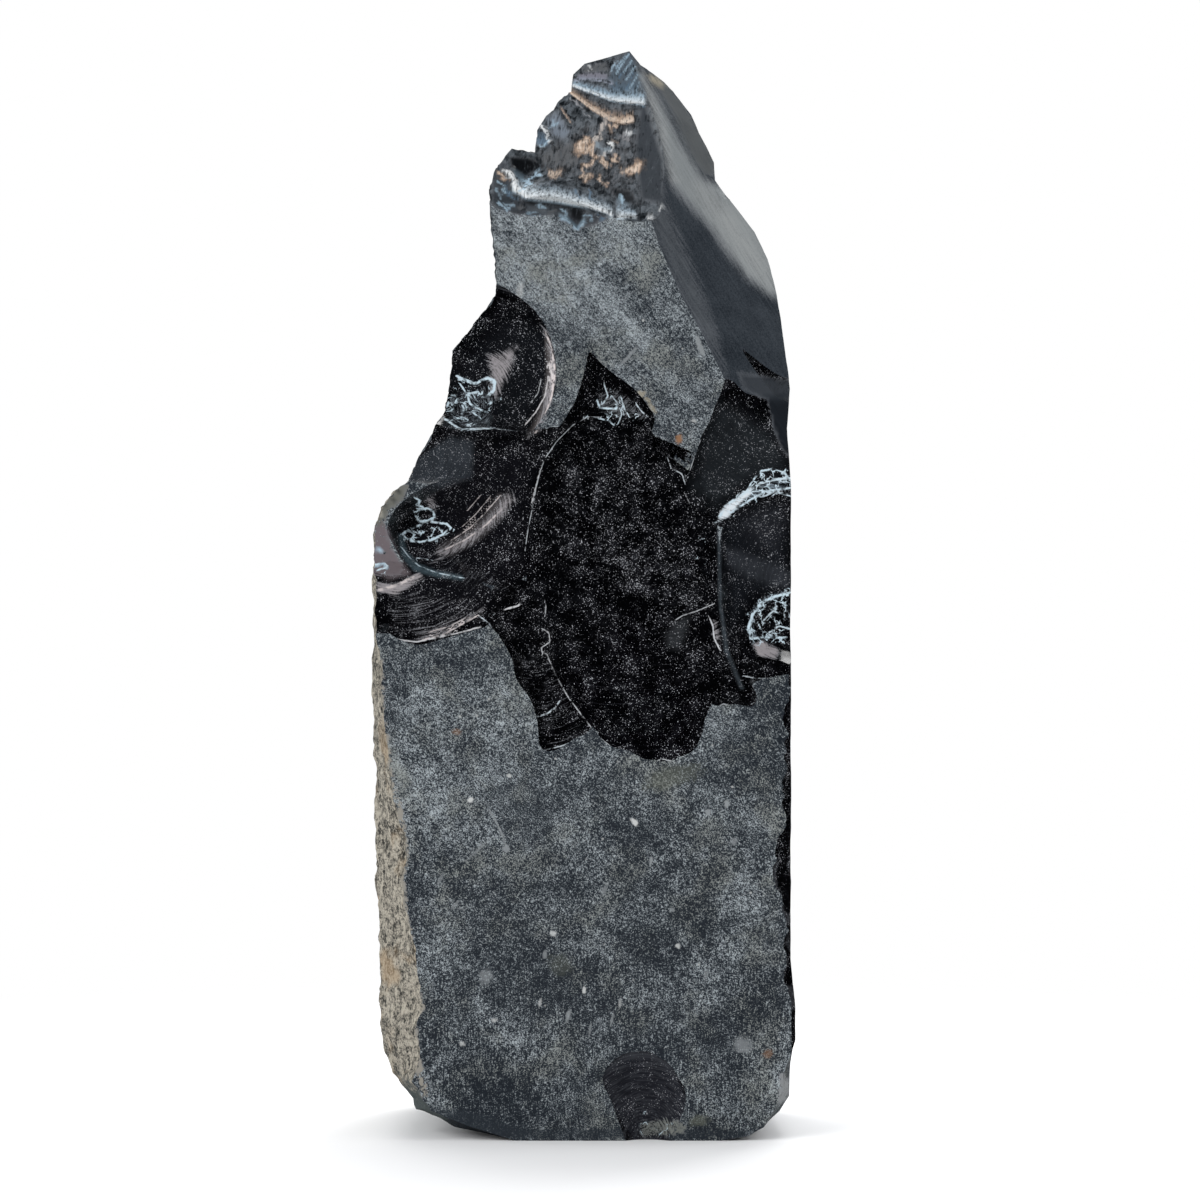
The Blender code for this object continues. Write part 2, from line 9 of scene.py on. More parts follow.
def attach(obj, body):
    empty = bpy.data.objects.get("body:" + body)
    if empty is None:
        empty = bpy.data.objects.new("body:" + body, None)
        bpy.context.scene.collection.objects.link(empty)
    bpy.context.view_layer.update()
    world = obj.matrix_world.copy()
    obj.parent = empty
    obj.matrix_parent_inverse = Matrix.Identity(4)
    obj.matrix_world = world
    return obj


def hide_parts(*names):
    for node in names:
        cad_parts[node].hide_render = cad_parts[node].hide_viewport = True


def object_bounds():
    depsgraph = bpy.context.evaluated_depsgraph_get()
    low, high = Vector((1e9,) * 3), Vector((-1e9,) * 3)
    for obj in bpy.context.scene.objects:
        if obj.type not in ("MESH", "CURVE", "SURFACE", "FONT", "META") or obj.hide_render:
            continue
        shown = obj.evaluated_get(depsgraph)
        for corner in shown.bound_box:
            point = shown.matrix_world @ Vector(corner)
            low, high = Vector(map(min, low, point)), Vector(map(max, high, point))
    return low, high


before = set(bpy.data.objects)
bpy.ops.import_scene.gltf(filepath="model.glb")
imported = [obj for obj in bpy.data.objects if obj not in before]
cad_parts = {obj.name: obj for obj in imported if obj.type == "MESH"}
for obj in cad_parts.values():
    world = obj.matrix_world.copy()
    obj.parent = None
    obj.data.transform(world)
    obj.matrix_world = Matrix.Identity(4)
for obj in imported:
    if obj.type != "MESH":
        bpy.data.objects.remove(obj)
solid_low, solid_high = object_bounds()

# The rough block, as it came out of the flow: a slab of glass with a stony rind down its left side.
# It is carved here in millimetres and made metres at the end. Its outline is the front view's,
# clockwise from the left end of the base: x, z, then how far it spreads by the widest section.
FRONT = -33.0
SHOULDER = -21.0
MIDDLE = 2.0
BACK = 33.0
BLOCK_OUTLINE = [
    (-15.0, 0.0, -6.5, 0.0), (-25.0, 3.0, -4.0, -1.5), (-34.0, 6.5, -3.5, -1.0),
    (-38.0, 13.0, -5.0, 0.5), (-36.5, 18.0, -8.0, 0.0), (-37.5, 24.5, -8.5, 0.0),
    (-36.0, 29.5, -10.0, 0.0), (-38.0, 41.0, -8.3, 0.0), (-39.5, 50.0, -7.0, 0.0),
    (-40.5, 57.5, -6.2, 0.0), (-39.5, 63.5, -7.3, 0.0), (-43.0, 79.0, -4.0, 0.0),
    (-45.0, 97.0, -2.5, 0.0), (-46.0, 119.0, -1.5, 0.0), (-46.5, 128.0, -0.8, 0.0),
    (-46.5, 134.5, -0.5, 0.0), (-45.0, 139.5, -0.5, 0.0), (-42.0, 143.0, -0.5, 0.0),
    (-39.0, 145.0, -0.5, 0.0), (-36.0, 151.5, 0.0, 0.0), (-33.5, 156.0, 0.0, 0.0),
    (-31.0, 160.5, 0.0, 0.5), (-30.0, 165.0, 0.0, 0.5), (-29.0, 174.0, 0.0, 0.5),
    (-26.0, 178.0, 0.0, 0.5), (-21.5, 183.5, 0.0, 0.5), (-19.5, 186.5, 0.0, 0.5),
    (-19.5, 194.0, 0.0, 0.5), (-20.5, 202.0, 0.0, 0.5), (-21.0, 209.5, 0.0, 0.5),
    (-20.0, 213.5, 0.0, 0.5), (-17.5, 217.0, 0.0, 0.5), (-16.0, 218.5, 0.0, 0.5),
    (-11.0, 218.0, 0.0, 0.5), (-10.5, 223.0, 0.0, 0.0), (-9.0, 225.5, 0.0, 0.0),
    (-6.0, 229.5, 0.0, 0.0), (-3.0, 232.0, 0.0, 0.0), (-2.5, 236.0, 0.0, 0.0),
    (0.0, 238.5, 0.0, 0.0), (3.5, 239.5, 0.0, 0.0), (10.0, 241.5, 0.0, 0.0),
    (12.5, 238.5, 0.0, 0.0), (18.0, 235.5, 0.0, 0.0), (23.5, 231.0, 0.0, 0.0),
    (26.0, 224.5, 0.0, 0.0), (29.5, 218.0, 0.0, 0.0), (29.5, 213.5, 0.0, 0.0),
    (33.0, 208.5, 0.0, 0.0), (38.5, 202.0, 0.0, 0.0), (41.5, 196.0, 0.0, 0.0),
    (43.5, 187.5, 0.0, 0.0), (45.6, 166.0, 0.0, 0.0), (44.6, 157.0, 0.3, 0.0),
    (45.5, 145.0, 0.5, 0.0), (45.5, 128.0, 0.4, 0.0), (45.5, 108.0, 0.3, 0.0),
    (45.4, 88.0, 0.4, 0.0), (45.5, 62.0, 0.3, 0.0), (45.3, 40.0, 0.4, 0.0),
    (46.5, 29.0, 0.0, 0.0), (46.5, 22.0, 0.3, 0.0), (43.5, 14.5, 2.2, -0.5),
    (43.5, 11.0, 2.0, -2.5), (42.0, 7.0, 1.3, -2.0), (39.5, 3.0, 0.0, -1.5),
    (36.0, 1.0, 0.5, -1.0), (30.0, 0.0, 3.0, 0.0),
]
# It starts with this much glass to spare in front. Its faces are this long down the left, round
# the other sides and from front to back.
SPARE = 4.0
RIND_STEP = 0.9
SIDE_STEP = 1.8
DEPTH_STEP = 1.2
# Between these heights the broken left edge is evened out behind the widest section: how many
# neighbours are averaged each way, then how far it moves in and down
LEFT_BREAK = (142.0, 221.0)
EVENED_AT_MIDDLE = (2, 4.5, 1.0)
EVENED_AT_BACK = (5, 9.0, 4.0)
MIDDLE_TAPER = 0.985
BACK_TAPER = 0.93

SKIN, GLASS, SATIN, HACKLE, RIND = range(5)
FINISH_NAMES = ["weathered skin", "fresh glass", "satin facet", "hackly break", "stony rind"]
finishes = [bpy.data.materials.new(name) for name in FINISH_NAMES]


def lumps(points, size, octaves=3, seed=0):
    """Noise of about 1 up and down at each point, made of lumps of this size and smaller."""
    shift = Vector((seed * 7.31, seed * 3.17, seed * 5.03))
    return np.array([noise.fractal(Vector(p) / size + shift, 1.0, 2.0, octaves) for p in points])


def carving(name, points, faces, finish):
    """A mesh object of one finish."""
    mesh = bpy.data.meshes.new(name)
    mesh.from_pydata([tuple(point) for point in points], [], faces)
    for material in finishes:
        mesh.materials.append(material)
    mesh.polygons.foreach_set("material_index", [finish] * len(faces))
    piece = bpy.data.objects.new(name, mesh)
    bpy.context.scene.collection.objects.link(piece)
    return piece


def evened(outline, reach, inwards, down):
    """The outline with its left break averaged over its neighbours and moved in and down."""
    result = list(outline)
    for i, (x, z) in enumerate(outline):
        if x < -8.0 and LEFT_BREAK[0] < z < LEFT_BREAK[1]:
            near_x, near_z = np.mean(outline[i - reach : i + reach + 1], axis=0)
            result[i] = (near_x + inwards, near_z - down)
    return result


front_ring = [(x, z) for x, z, _, _ in BLOCK_OUTLINE]
shoulder_ring = [(x + out_x, max(z + out_z, 0.0)) for x, z, out_x, out_z in BLOCK_OUTLINE]
middle_ring = [(x * MIDDLE_TAPER, z) for x, z in evened(shoulder_ring, *EVENED_AT_MIDDLE)]
back_ring = [(x * BACK_TAPER, z) for x, z in evened(shoulder_ring, *EVENED_AT_BACK)]
ring_depths = [FRONT - SPARE, FRONT, SHOULDER, MIDDLE, BACK]
rings = np.array([front_ring, front_ring, shoulder_ring, middle_ring, back_ring])

# Each straight piece of the outline is split into steps, with the same share of each in every ring
lengths = np.linalg.norm(np.roll(rings[1], -1, axis=0) - rings[1], axis=1)
on_left = (rings[1][:, 0] < -1.0) & (rings[1][:, 1] > 5.0)
steps = np.maximum(1, np.round(lengths / np.where(on_left, RIND_STEP, SIDE_STEP)).astype(int))
corner = np.repeat(np.arange(len(steps)), steps)
share = np.concatenate([np.arange(n) / n for n in steps])[None, :, None]
after = (corner + 1) % len(steps)
rings = rings[:, corner] * (1 - share) + rings[:, after] * share
depths = np.concatenate([[FRONT - SPARE], np.arange(FRONT, BACK, DEPTH_STEP), [BACK]])
block_points = []
for depth in depths:
    x = [np.interp(depth, ring_depths, rings[:, i, 0]) for i in range(rings.shape[1])]
    z = [np.interp(depth, ring_depths, rings[:, i, 1]) for i in range(rings.shape[1])]
    block_points.append(np.c_[x, np.full(len(x), depth), z])
around = rings.shape[1]
block_points = np.concatenate(block_points)
last_ring = range(len(block_points) - 1, len(block_points) - around - 1, -1)
block_faces = [tuple(range(around)), tuple(last_ring)]
for ring in range(len(depths) - 1):
    for i in range(around):
        a, b = ring * around + i, ring * around + (i + 1) % around
        block_faces.append((a, a + around, b + around, b))
block = carving("obsidian_block", block_points, block_faces, SKIN)

# Down the left side the rind is lumpy stone; the other sides are cleaner breaks
x, y, z = block_points.T
stony = np.clip((-28.0 - x) / 8.0, 0.0, 1.0) * np.clip((150.0 - z) / 12.0, 0.0, 1.0)
bulge = lumps(block_points, 7.0, 4) * (0.15 + 0.5 * stony) - 0.35 * stony
bulge += stony * (0.55 * lumps(block_points, 2.6, 3, seed=21))
broken_left = (x < -1.0) & (z > LEFT_BREAK[0] - 3.0) & (z < 237.0)
bulge += broken_left * 0.6 * lumps(block_points, 2.2, 3, seed=22)
for face in block.data.polygons[2:]:
    if all(stony[i] > 0.2 for i in face.vertices):
        face.material_index = RIND
    elif any(broken_left[i] for i in face.vertices):
        face.material_index = HACKLE
outward = block_points - np.c_[np.zeros(len(x)), y, np.clip(z, 30.0, 190.0)]
outward /= np.linalg.norm(outward, axis=1)[:, None]
moved = block_points + outward * (bulge * np.clip(z / 3.0, 0.0, 1.0))[:, None]
moved[:, 0] = np.clip(moved[:, 0], solid_low.x * 1000, solid_high.x * 1000)
moved[:, 2] = np.clip(moved[:, 2], 0.0, solid_high.z * 1000)
block.data.vertices.foreach_set("co", moved.ravel())


# What a coat on the mesh's corners can be read as, besides its colour
VECTOR, NUMBER, SHARE = 1, 2, 3


class Wire:
    """One output of a shader node, so that what is done to it reads as sums."""

    def __init__(self, tree, socket=None):
        self.tree = tree
        self.socket = socket

    def node(self, kind, settings=None, sockets=None, output=0):
        """A node of this type: its settings, then a value or a wire for each socket."""
        made = self.tree.nodes.new(kind)
        for name, value in (settings or {}).items():
            setattr(made, name, value)
        for name, value in (sockets or {}).items():
            if isinstance(value, Wire):
                self.tree.links.new(value.socket, made.inputs[name])
            else:
                made.inputs[name].default_value = value
        return Wire(self.tree, made.outputs[output] if made.outputs else None)

    def laid(self, name, output=0):
        """The coat of this name that is laid on the mesh's corners."""
        return self.node("ShaderNodeAttribute", {"attribute_name": name}, None, output)

    def maths(self, operation, *values):
        return self.node("ShaderNodeMath", {"operation": operation}, dict(enumerate(values)))

    def __add__(self, other):
        return self.maths("ADD", self, other)

    def __sub__(self, other):
        return self.maths("SUBTRACT", self, other)

    def __rsub__(self, other):
        return self.maths("SUBTRACT", other, self)

    def __mul__(self, other):
        return self.maths("MULTIPLY", self, other)

    def __truediv__(self, other):
        return self.maths("DIVIDE", self, other)

    def __abs__(self):
        return self.maths("ABSOLUTE", self)

    __radd__ = __add__
    __rmul__ = __mul__

    def most(self, other):
        """The greater of the two."""
        return self.maths("MAXIMUM", self, other)

    def rise(self, low, high):
        """Goes smoothly from 0 to 1 as this goes from low to high."""
        return self.node("ShaderNodeMapRange", {"interpolation_type": "SMOOTHSTEP"},
                         {"Value": self, "From Min": low, "From Max": high})

    def colours(self, under, over):
        """The colour between two, this being the share of the second."""
        return self.node("ShaderNodeMix", {"data_type": "RGBA"}, {0: self, 6: under, 7: over}, 2)

    def grain(self, size, detail=2.0, seed=0.0, roughness=0.5):
        """Noise of this size over these coordinates."""
        return self.node("ShaderNodeTexNoise", {"noise_dimensions": "4D"},
                         {"Vector": self, "W": seed, "Scale": 1.0 / size, "Detail": detail,
                          "Roughness": roughness})

    def stretched(self, turn, size):
        """These coordinates turned about the front's normal, then divided by a size each way."""
        return self.node("ShaderNodeMapping", {"vector_type": "TEXTURE"},
                         {"Vector": self, "Rotation": (0.0, np.radians(turn), 0.0), "Scale": size})


def begin(finish):
    """The finish's empty tree, and the place on the piece in millimetres."""
    material = finishes[finish]
    material.use_nodes = True
    material.node_tree.nodes.clear()
    start = Wire(material.node_tree)
    place = start.node("ShaderNodeTexCoord", output=3)
    return start, place.node("ShaderNodeVectorMath", {"operation": "SCALE"}, {0: place, 3: 1000.0})


def finish_with(start, colour, roughness, height, depth, **constants):
    """Ends a finish in its one shader; height is in parts of this depth in millimetres."""
    bump = start.node("ShaderNodeBump", None,
                      {"Strength": 1.0, "Distance": depth * 0.001, "Height": height})
    sockets = {"Base Color": colour, "Roughness": roughness, "Normal": bump}
    sockets.update({name.replace("_", " "): value for name, value in constants.items()})
    shader = start.node("ShaderNodeBsdfPrincipled", None, sockets)
    start.node("ShaderNodeOutputMaterial", None, {"Surface": shader})


# Rind: tan and grey stone with dark pits, ochre stains low down and fine grit all over; towards
# the base it is worn to a smooth grey-green
start, place = begin(RIND)
height = place.node("ShaderNodeSeparateXYZ", None, {0: place}, 2)
patches = place.grain(6.0, 4.0, 1.0, 0.6)
grit = place.grain(0.5, 3.0, 2.0, 0.75)
crumbs = place.grain(1.6, 3.0, 5.0, 0.65)
streaks = place.stretched(0.0, (0.7, 0.7, 7.0)).grain(1.0, 3.0, 3.0, 0.6)
tone = (patches - 0.5) * 1.1 + (streaks - 0.5) * 1.3 + (grit - 0.5) * 2.6 + (crumbs - 0.5) * 1.9 + 0.44
tone = tone + height.rise(135.0, 60.0) * 0.08
stone = tone.rise(0.0, 1.0).colours((0.018, 0.019, 0.018, 1.0), (0.44, 0.405, 0.335, 1.0))
stained = place.grain(9.0, 3.0, 4.0).rise(0.52, 0.68) * 0.45 * height.rise(100.0, 80.0)
stone = stained.colours(stone, (0.36, 0.24, 0.12, 1.0))
worn = (height + (crumbs - 0.5) * 14.0).rise(15.0, 9.0)
stone = worn.colours(stone, (0.085, 0.105, 0.105, 1.0))
finish_with(start, stone, 0.92 - worn * 0.3, grit * 0.5 + crumbs * 0.5 * (1.0 - worn), 1.0)

# The front skin: one old flat face, weathered dull. It dips and rises by tenths of a millimetre.
LID = 9.0
cutters = []


def face_axes(place, normal):
    """Axes on a face: u to its right, v up it, and the third out of it."""
    out = Vector(normal).normalized()
    right = Vector((0.0, 0.0, 1.0)).cross(out).normalized()
    turn = Matrix((right, out.cross(right), out)).transposed().to_4x4()
    return Matrix.Translation(Vector(place)) @ turn


def cut_away(name, axes, u_range, v_range, step, lift, finish, lid=LID, strike=None):
    """Cuts all that lies between a lid and a floor, a fine grid lifted from the axes' plane.

    Where a flake was struck off, each corner keeps its offset from the point of the blow.
    """
    us = np.linspace(*u_range, int((u_range[1] - u_range[0]) / step) + 1)
    vs = np.linspace(*v_range, int((v_range[1] - v_range[0]) / step) + 1)
    u, v = (grid.ravel() for grid in np.meshgrid(us, vs))
    floor = np.c_[u, v, np.minimum(lift(u, v), lid - 1.0)]
    columns, rows = len(us), len(vs)
    a = (np.arange(rows - 1)[:, None] * columns + np.arange(columns - 1)[None, :]).ravel()
    faces = np.c_[a, a + columns, a + columns + 1, a + 1].tolist()
    edge = [*range(columns), *(i * columns + columns - 1 for i in range(1, rows))]
    edge += [(rows - 1) * columns + j for j in range(columns - 2, -1, -1)]
    edge += [i * columns for i in range(rows - 2, 0, -1)]
    first = len(floor)
    over = floor[edge]
    over[:, 2] = lid
    count = len(edge)
    for i in range(count):
        after = (i + 1) % count
        faces.append((edge[i], edge[after], first + after, first + i))
    faces.append(tuple(range(first, first + count)))
    flat = np.concatenate([floor, over])
    turn = np.array(axes)
    cutter = carving(name, flat @ turn[:3, :3].T + turn[:3, 3], faces, finish)
    if strike is not None:
        offset = flat - (*strike, 0.0)
        offset[:, 2] = 0.0
        corners = np.empty(len(cutter.data.loops), int)
        cutter.data.loops.foreach_get("vertex_index", corners)
        blow = cutter.data.attributes.new("blow", "FLOAT_VECTOR", "CORNER")
        blow.data.foreach_set("vector", offset[corners].ravel())
    cutters.append(cutter)


front = face_axes((0.0, FRONT, 0.0), (0.0, -1.0, 0.0))


def skin_lift(x, z):
    """The old face, a little uneven."""
    return 0.12 * lumps(np.c_[x, z, z * 0], 22.0, 3, seed=1) - 0.12


cut_away("skin_cutter", front, (-56.0, 56.0), (-6.0, 252.0), 1.0, skin_lift, SKIN)

# Its marks, read off the photograph in its pixels: centre, half width and height, turn, colour
# and strength
PIXEL = 0.22
MID_PIXEL = 584.5
BASE_PIXEL = 1141.0
WHITE = (0.60, 0.61, 0.60)
ASH = (0.26, 0.28, 0.29)
TAN = (0.36, 0.32, 0.24)
RUST = (0.30, 0.15, 0.07)
OLIVE = (0.15, 0.16, 0.12)
SLATE = (0.022, 0.030, 0.040)
SKIN_MARKS = [
    ((471, 800), 2.6, 2.4, 0, WHITE, 0.9), ((509, 776), 2.0, 1.5, 20, WHITE, 0.7),
    ((635, 823), 2.0, 4.5, -40, WHITE, 0.9), ((727, 804), 2.5, 3.5, 0, ASH, 1.0),
    ((553, 934), 2.8, 2.6, 0, WHITE, 0.7), ((678, 946), 2.2, 2.0, 0, WHITE, 0.7),
    ((494, 1021), 2.6, 2.2, 0, WHITE, 0.7), ((584, 991), 1.6, 3.2, 10, WHITE, 0.8),
    ((462, 1044), 2.4, 2.4, 0, WHITE, 0.6), ((506, 849), 3.4, 3.2, 0, ASH, 0.8),
    ((485, 977), 6.0, 7.0, 0, ASH, 0.55), ((743, 1046), 8.0, 7.5, 0, ASH, 0.6),
    ((768, 1054), 5.0, 4.0, 0, RUST, 0.4), ((679, 439), 3.0, 4.5, 0, RUST, 0.9),
    ((641, 394), 4.0, 3.0, 0, TAN, 0.7), ((647, 399), 3.0, 2.0, 30, TAN, 0.6),
    ((652, 408), 2.0, 6.0, -35, TAN, 0.6), ((694, 421), 3.0, 1.6, 10, WHITE, 0.6),
    ((698, 1121), 9.0, 5.0, 0, OLIVE, 0.45), ((672, 777), 27.0, 10.0, -15, OLIVE, 0.35),
    ((457, 732), 4.5, 3.0, 0, RUST, 0.35), ((560, 965), 12.0, 9.0, 30, OLIVE, 0.25),
    ((568, 1016), 2.0, 7.0, 15, ASH, 0.8), ((496, 822), 1.0, 18.0, -28, ASH, 0.7),
    ((478, 850), 16.0, 1.2, -42, ASH, 0.5), ((503, 838), 0.8, 14.0, -22, ASH, 0.6),
    ((700, 346), 2.5, 12.0, -20, ASH, 0.9), ((629, 356), 14.0, 1.6, -48, ASH, 0.7),
    # These two long marks darken the skin along its base
    ((470, 1122), 60.0, 9.0, 12, SLATE, 0.75), ((620, 1134), 150.0, 5.0, 0, SLATE, 0.6),
    ((708, 812), 2.2, 3.0, 0, ASH, 0.9), ((651, 861), 1.4, 4.0, 8, ASH, 0.9),
    ((604, 890), 2.0, 6.0, 30, ASH, 0.6), ((734, 842), 3.0, 3.0, 0, ASH, 0.6),
    ((455, 905), 5.0, 1.4, -50, ASH, 0.6), ((540, 1003), 1.4, 4.0, 12, WHITE, 0.5),
    ((545, 955), 2.0, 4.0, 15, ASH, 0.7), ((590, 1030), 1.2, 6.0, 10, ASH, 0.6),
    ((440, 880), 1.5, 7.0, 30, ASH, 0.5), ((672, 910), 2.4, 2.0, 0, ASH, 0.7),
    ((706, 975), 2.0, 5.0, 10, ASH, 0.5), ((620, 1003), 1.3, 5.0, 5, WHITE, 0.4),
    ((612, 1020), 1.3, 6.0, 12, ASH, 0.7), ((622, 300), 30.0, 0.9, -35, ASH, 0.25),
    ((610, 352), 22.0, 0.9, -42, ASH, 0.25), ((520, 290), 3.0, 7.0, 5, WHITE, 0.35),
    ((540, 362), 4.0, 3.0, 0, ASH, 0.5),
]
# Its broad light and dark patches: centre, half width and height, turn and share of the tone
SKIN_PATCHES = [
    ((455, 705), 66.0, 40.0, 10, 0.10), ((450, 798), 66.0, 52.0, 0, 0.13),
    ((585, 800), 30.0, 24.0, 0, -0.10), ((742, 880), 52.0, 5.0, 40, 0.10),
    ((738, 884), 28.0, 26.0, 0, 0.06), ((640, 960), 60.0, 46.0, 0, -0.07),
    ((500, 1088), 90.0, 24.0, 0, -0.10), ((690, 1060), 50.0, 40.0, 0, -0.06),
    ((522, 262), 26.0, 50.0, -15, 0.08), ((622, 322), 128.0, 10.0, 51, 0.20),
    ((590, 268), 40.0, 14.0, 42, -0.06), ((672, 392), 34.0, 26.0, 45, -0.10),
    ((582, 352), 30.0, 14.0, 45, -0.07), ((650, 282), 14.0, 44.0, -25, 0.06),
    ((620, 1126), 190.0, 16.0, 0, -0.10), ((408, 1000), 16.0, 90.0, 0, -0.06),
    ((578, 805), 40.0, 60.0, 0, -0.07), ((680, 810), 26.0, 50.0, 0, -0.07),
    ((590, 985), 46.0, 50.0, 0, -0.07), ((720, 940), 24.0, 20.0, 0, -0.09),
    ((640, 1095), 90.0, 16.0, 0, -0.06), ((522, 722), 26.0, 32.0, 0, 0.10),
    ((482, 862), 56.0, 34.0, 0, 0.09), ((622, 278), 24.0, 40.0, 0, 0.08),
    ((642, 384), 22.0, 22.0, 0, 0.09), ((756, 850), 20.0, 60.0, 0, 0.06),
    ((766, 1062), 24.0, 26.0, 0, -0.10),
]


def on_front(points):
    """Points read off the photograph, in its pixels, as x and z on the front in millimetres."""
    return [((x - MID_PIXEL) * PIXEL, (BASE_PIXEL - y) * PIXEL) for x, y in points]


# Skin: dark slate peppered with pale grains, in clouds of blue-grey and olive, combed upright low
# down, paler towards the top, with its scratches and marks
start, place = begin(SKIN)
height = place.node("ShaderNodeSeparateXYZ", None, {0: place}, 2)
grain = place.grain(0.25, 1.0, 1.0, 0.6)
flecks = place.grain(0.62, 3.0, 2.0, 0.65)
combed = place.stretched(0.0, (0.30, 0.6, 2.6)).grain(1.0, 1.0, 9.0)
crossed = place.stretched(-42.0, (0.30, 0.6, 2.2)).grain(1.0, 1.0, 10.0)
mottle = place.grain(3.6, 4.0, 3.0, 0.6)
broad = place.grain(17.0, 4.0, 4.0, 0.55)
swept = place.stretched(-42.0, (6.0, 6.0, 34.0)).grain(1.0, 3.0, 12.0)
low_down = height.rise(75.0, 15.0)
high_up = height.rise(135.0, 190.0)
tone = (grain - 0.5) * (3.2 - high_up * 1.3) + (flecks - 0.5) * 1.3
tone = tone + (mottle - 0.5) * (1.0 - high_up * 0.45)
tone = tone + (broad - 0.5) * (1.2 - high_up * 0.6)
tone = tone + (combed - 0.5) * low_down * 1.1 + (crossed - 0.5) * (1.0 - low_down) * 0.7
tone = tone + (swept - 0.5) * high_up * 0.8 + high_up * 0.15 + height.rise(0.0, 95.0) * 0.06 + 0.01
scratches = place.stretched(38.0, (0.26, 4.0, 12.0)).grain(1.0, 1.0, 5.0).rise(0.68, 0.76)
scratches = scratches * place.grain(16.0, 1.0, 6.0).rise(0.5, 0.62)
hairs = place.stretched(-12.0, (0.24, 4.0, 8.0)).grain(1.0, 1.0, 7.0).rise(0.70, 0.77)
tone = tone + scratches * 0.35 + hairs * 0.25
sparks = place.grain(0.34, 1.0, 14.0) + (mottle - 0.5) * 0.35 + (broad - 0.5) * 0.25
tone = tone + sparks.rise(0.66, 0.76) * 0.65


def oval(pixel, half_width, half_height, turn):
    """How far the place is from the middle of an oval on the front; 1 is its rim."""
    middle_x, middle_z = on_front([pixel])[0]
    inside = place.node("ShaderNodeMapping", {"vector_type": "TEXTURE"}, {
        "Vector": place, "Location": (middle_x, FRONT, middle_z),
        "Rotation": (0.0, np.radians(turn), 0.0),
        "Scale": (half_width * PIXEL, 20.0, half_height * PIXEL)})
    return inside.node("ShaderNodeVectorMath", {"operation": "LENGTH"}, {0: inside}, 1)


tone = tone + start.laid("tinge", NUMBER)
skin = tone.rise(-0.15, 1.05).colours((0.012, 0.018, 0.027, 1.0), (0.44, 0.49, 0.515, 1.0))
olive = place.grain(11.0, 4.0, 11.0, 0.6).rise(0.47, 0.64) * tone.rise(-0.1, 0.6)
skin = (olive * 0.5).colours(skin, (0.17, 0.17, 0.13, 1.0))
spots = place.node("ShaderNodeTexVoronoi", {"feature": "F1"},
                   {"Vector": place, "Scale": 0.22, "Randomness": 1.0})
dots = spots.rise(0.085, 0.04) * place.grain(20.0, 1.0, 8.0).rise(0.46, 0.56)
skin = (dots * 0.8).colours(skin, (0.46, 0.47, 0.46, 1.0))
torn = (place.grain(0.9, 3.0, 13.0, 0.6) - 0.5) * 2.4
for pixel, half_width, half_height, turn, colour, strength in SKIN_MARKS:
    outwards = oval(pixel, half_width, half_height, turn)
    skin = ((outwards + torn).rise(1.5, 0.6) * strength).colours(skin, (*colour, 1.0))
tint_and_painted_light = start.laid("tint_and_painted_light")
amount = start.laid("tint_and_painted_light", SHARE)
skin = (amount + torn * amount * 1.8).rise(0.36, 0.66).colours(skin, tint_and_painted_light)
finish_with(start, skin, 0.62 + (grain - 0.5) * 0.2, grain * 0.5 + flecks * 0.5, 0.10,
            Specular_IOR_Level=0.35)

# The satin facet at the upper right: one smooth fracture that curls back from the front's edge.
# By height: x of its front edge, its first slope backwards, and how fast that slope grows.
FACET_ROWS = np.array([
    (128.0, 46.0, 0.40, 0.000), (150.0, 38.5, 0.40, 0.004), (167.0, 31.0, 0.42, 0.010),
    (178.0, 25.5, 0.48, 0.014), (185.0, 21.5, 0.55, 0.014), (195.5, 17.0, 0.70, 0.010),
    (202.5, 14.5, 0.82, 0.006), (210.0, 13.5, 0.92, 0.004), (221.0, 10.8, 1.05, 0.002),
    (232.0, 5.7, 1.20, 0.000), (248.0, -4.0, 1.35, 0.000),
])
CREASE_HEIGHTS = (205.0, 210.0, 213.0, 217.5, 226.0, 233.0, 248.0)
CREASE_X = (60.0, 30.0, 27.0, 24.0, 21.0, 16.5, 10.0)
CREASE_SLOPE = 1.3


def facet_depth(x, z):
    """How far the facet lies behind the front, with the steeper strip beyond its crease."""
    start, slope, growth = (np.interp(z, FACET_ROWS[:, 0], FACET_ROWS[:, i]) for i in (1, 2, 3))
    across = x - start
    beyond = np.maximum(x - np.interp(z, CREASE_HEIGHTS, CREASE_X), 0.0)
    return slope * across + growth * across * np.abs(across) + CREASE_SLOPE * beyond


def facet_lift(x, z):
    """The facet's floor, very slightly uneven."""
    return -facet_depth(x, z) + 0.05 * lumps(np.c_[x, z, z * 0], 14.0, 2, seed=2)


cut_away("facet_cutter", front, (-12.0, 62.0), (131.0, 250.0), 1.0, facet_lift, SATIN)
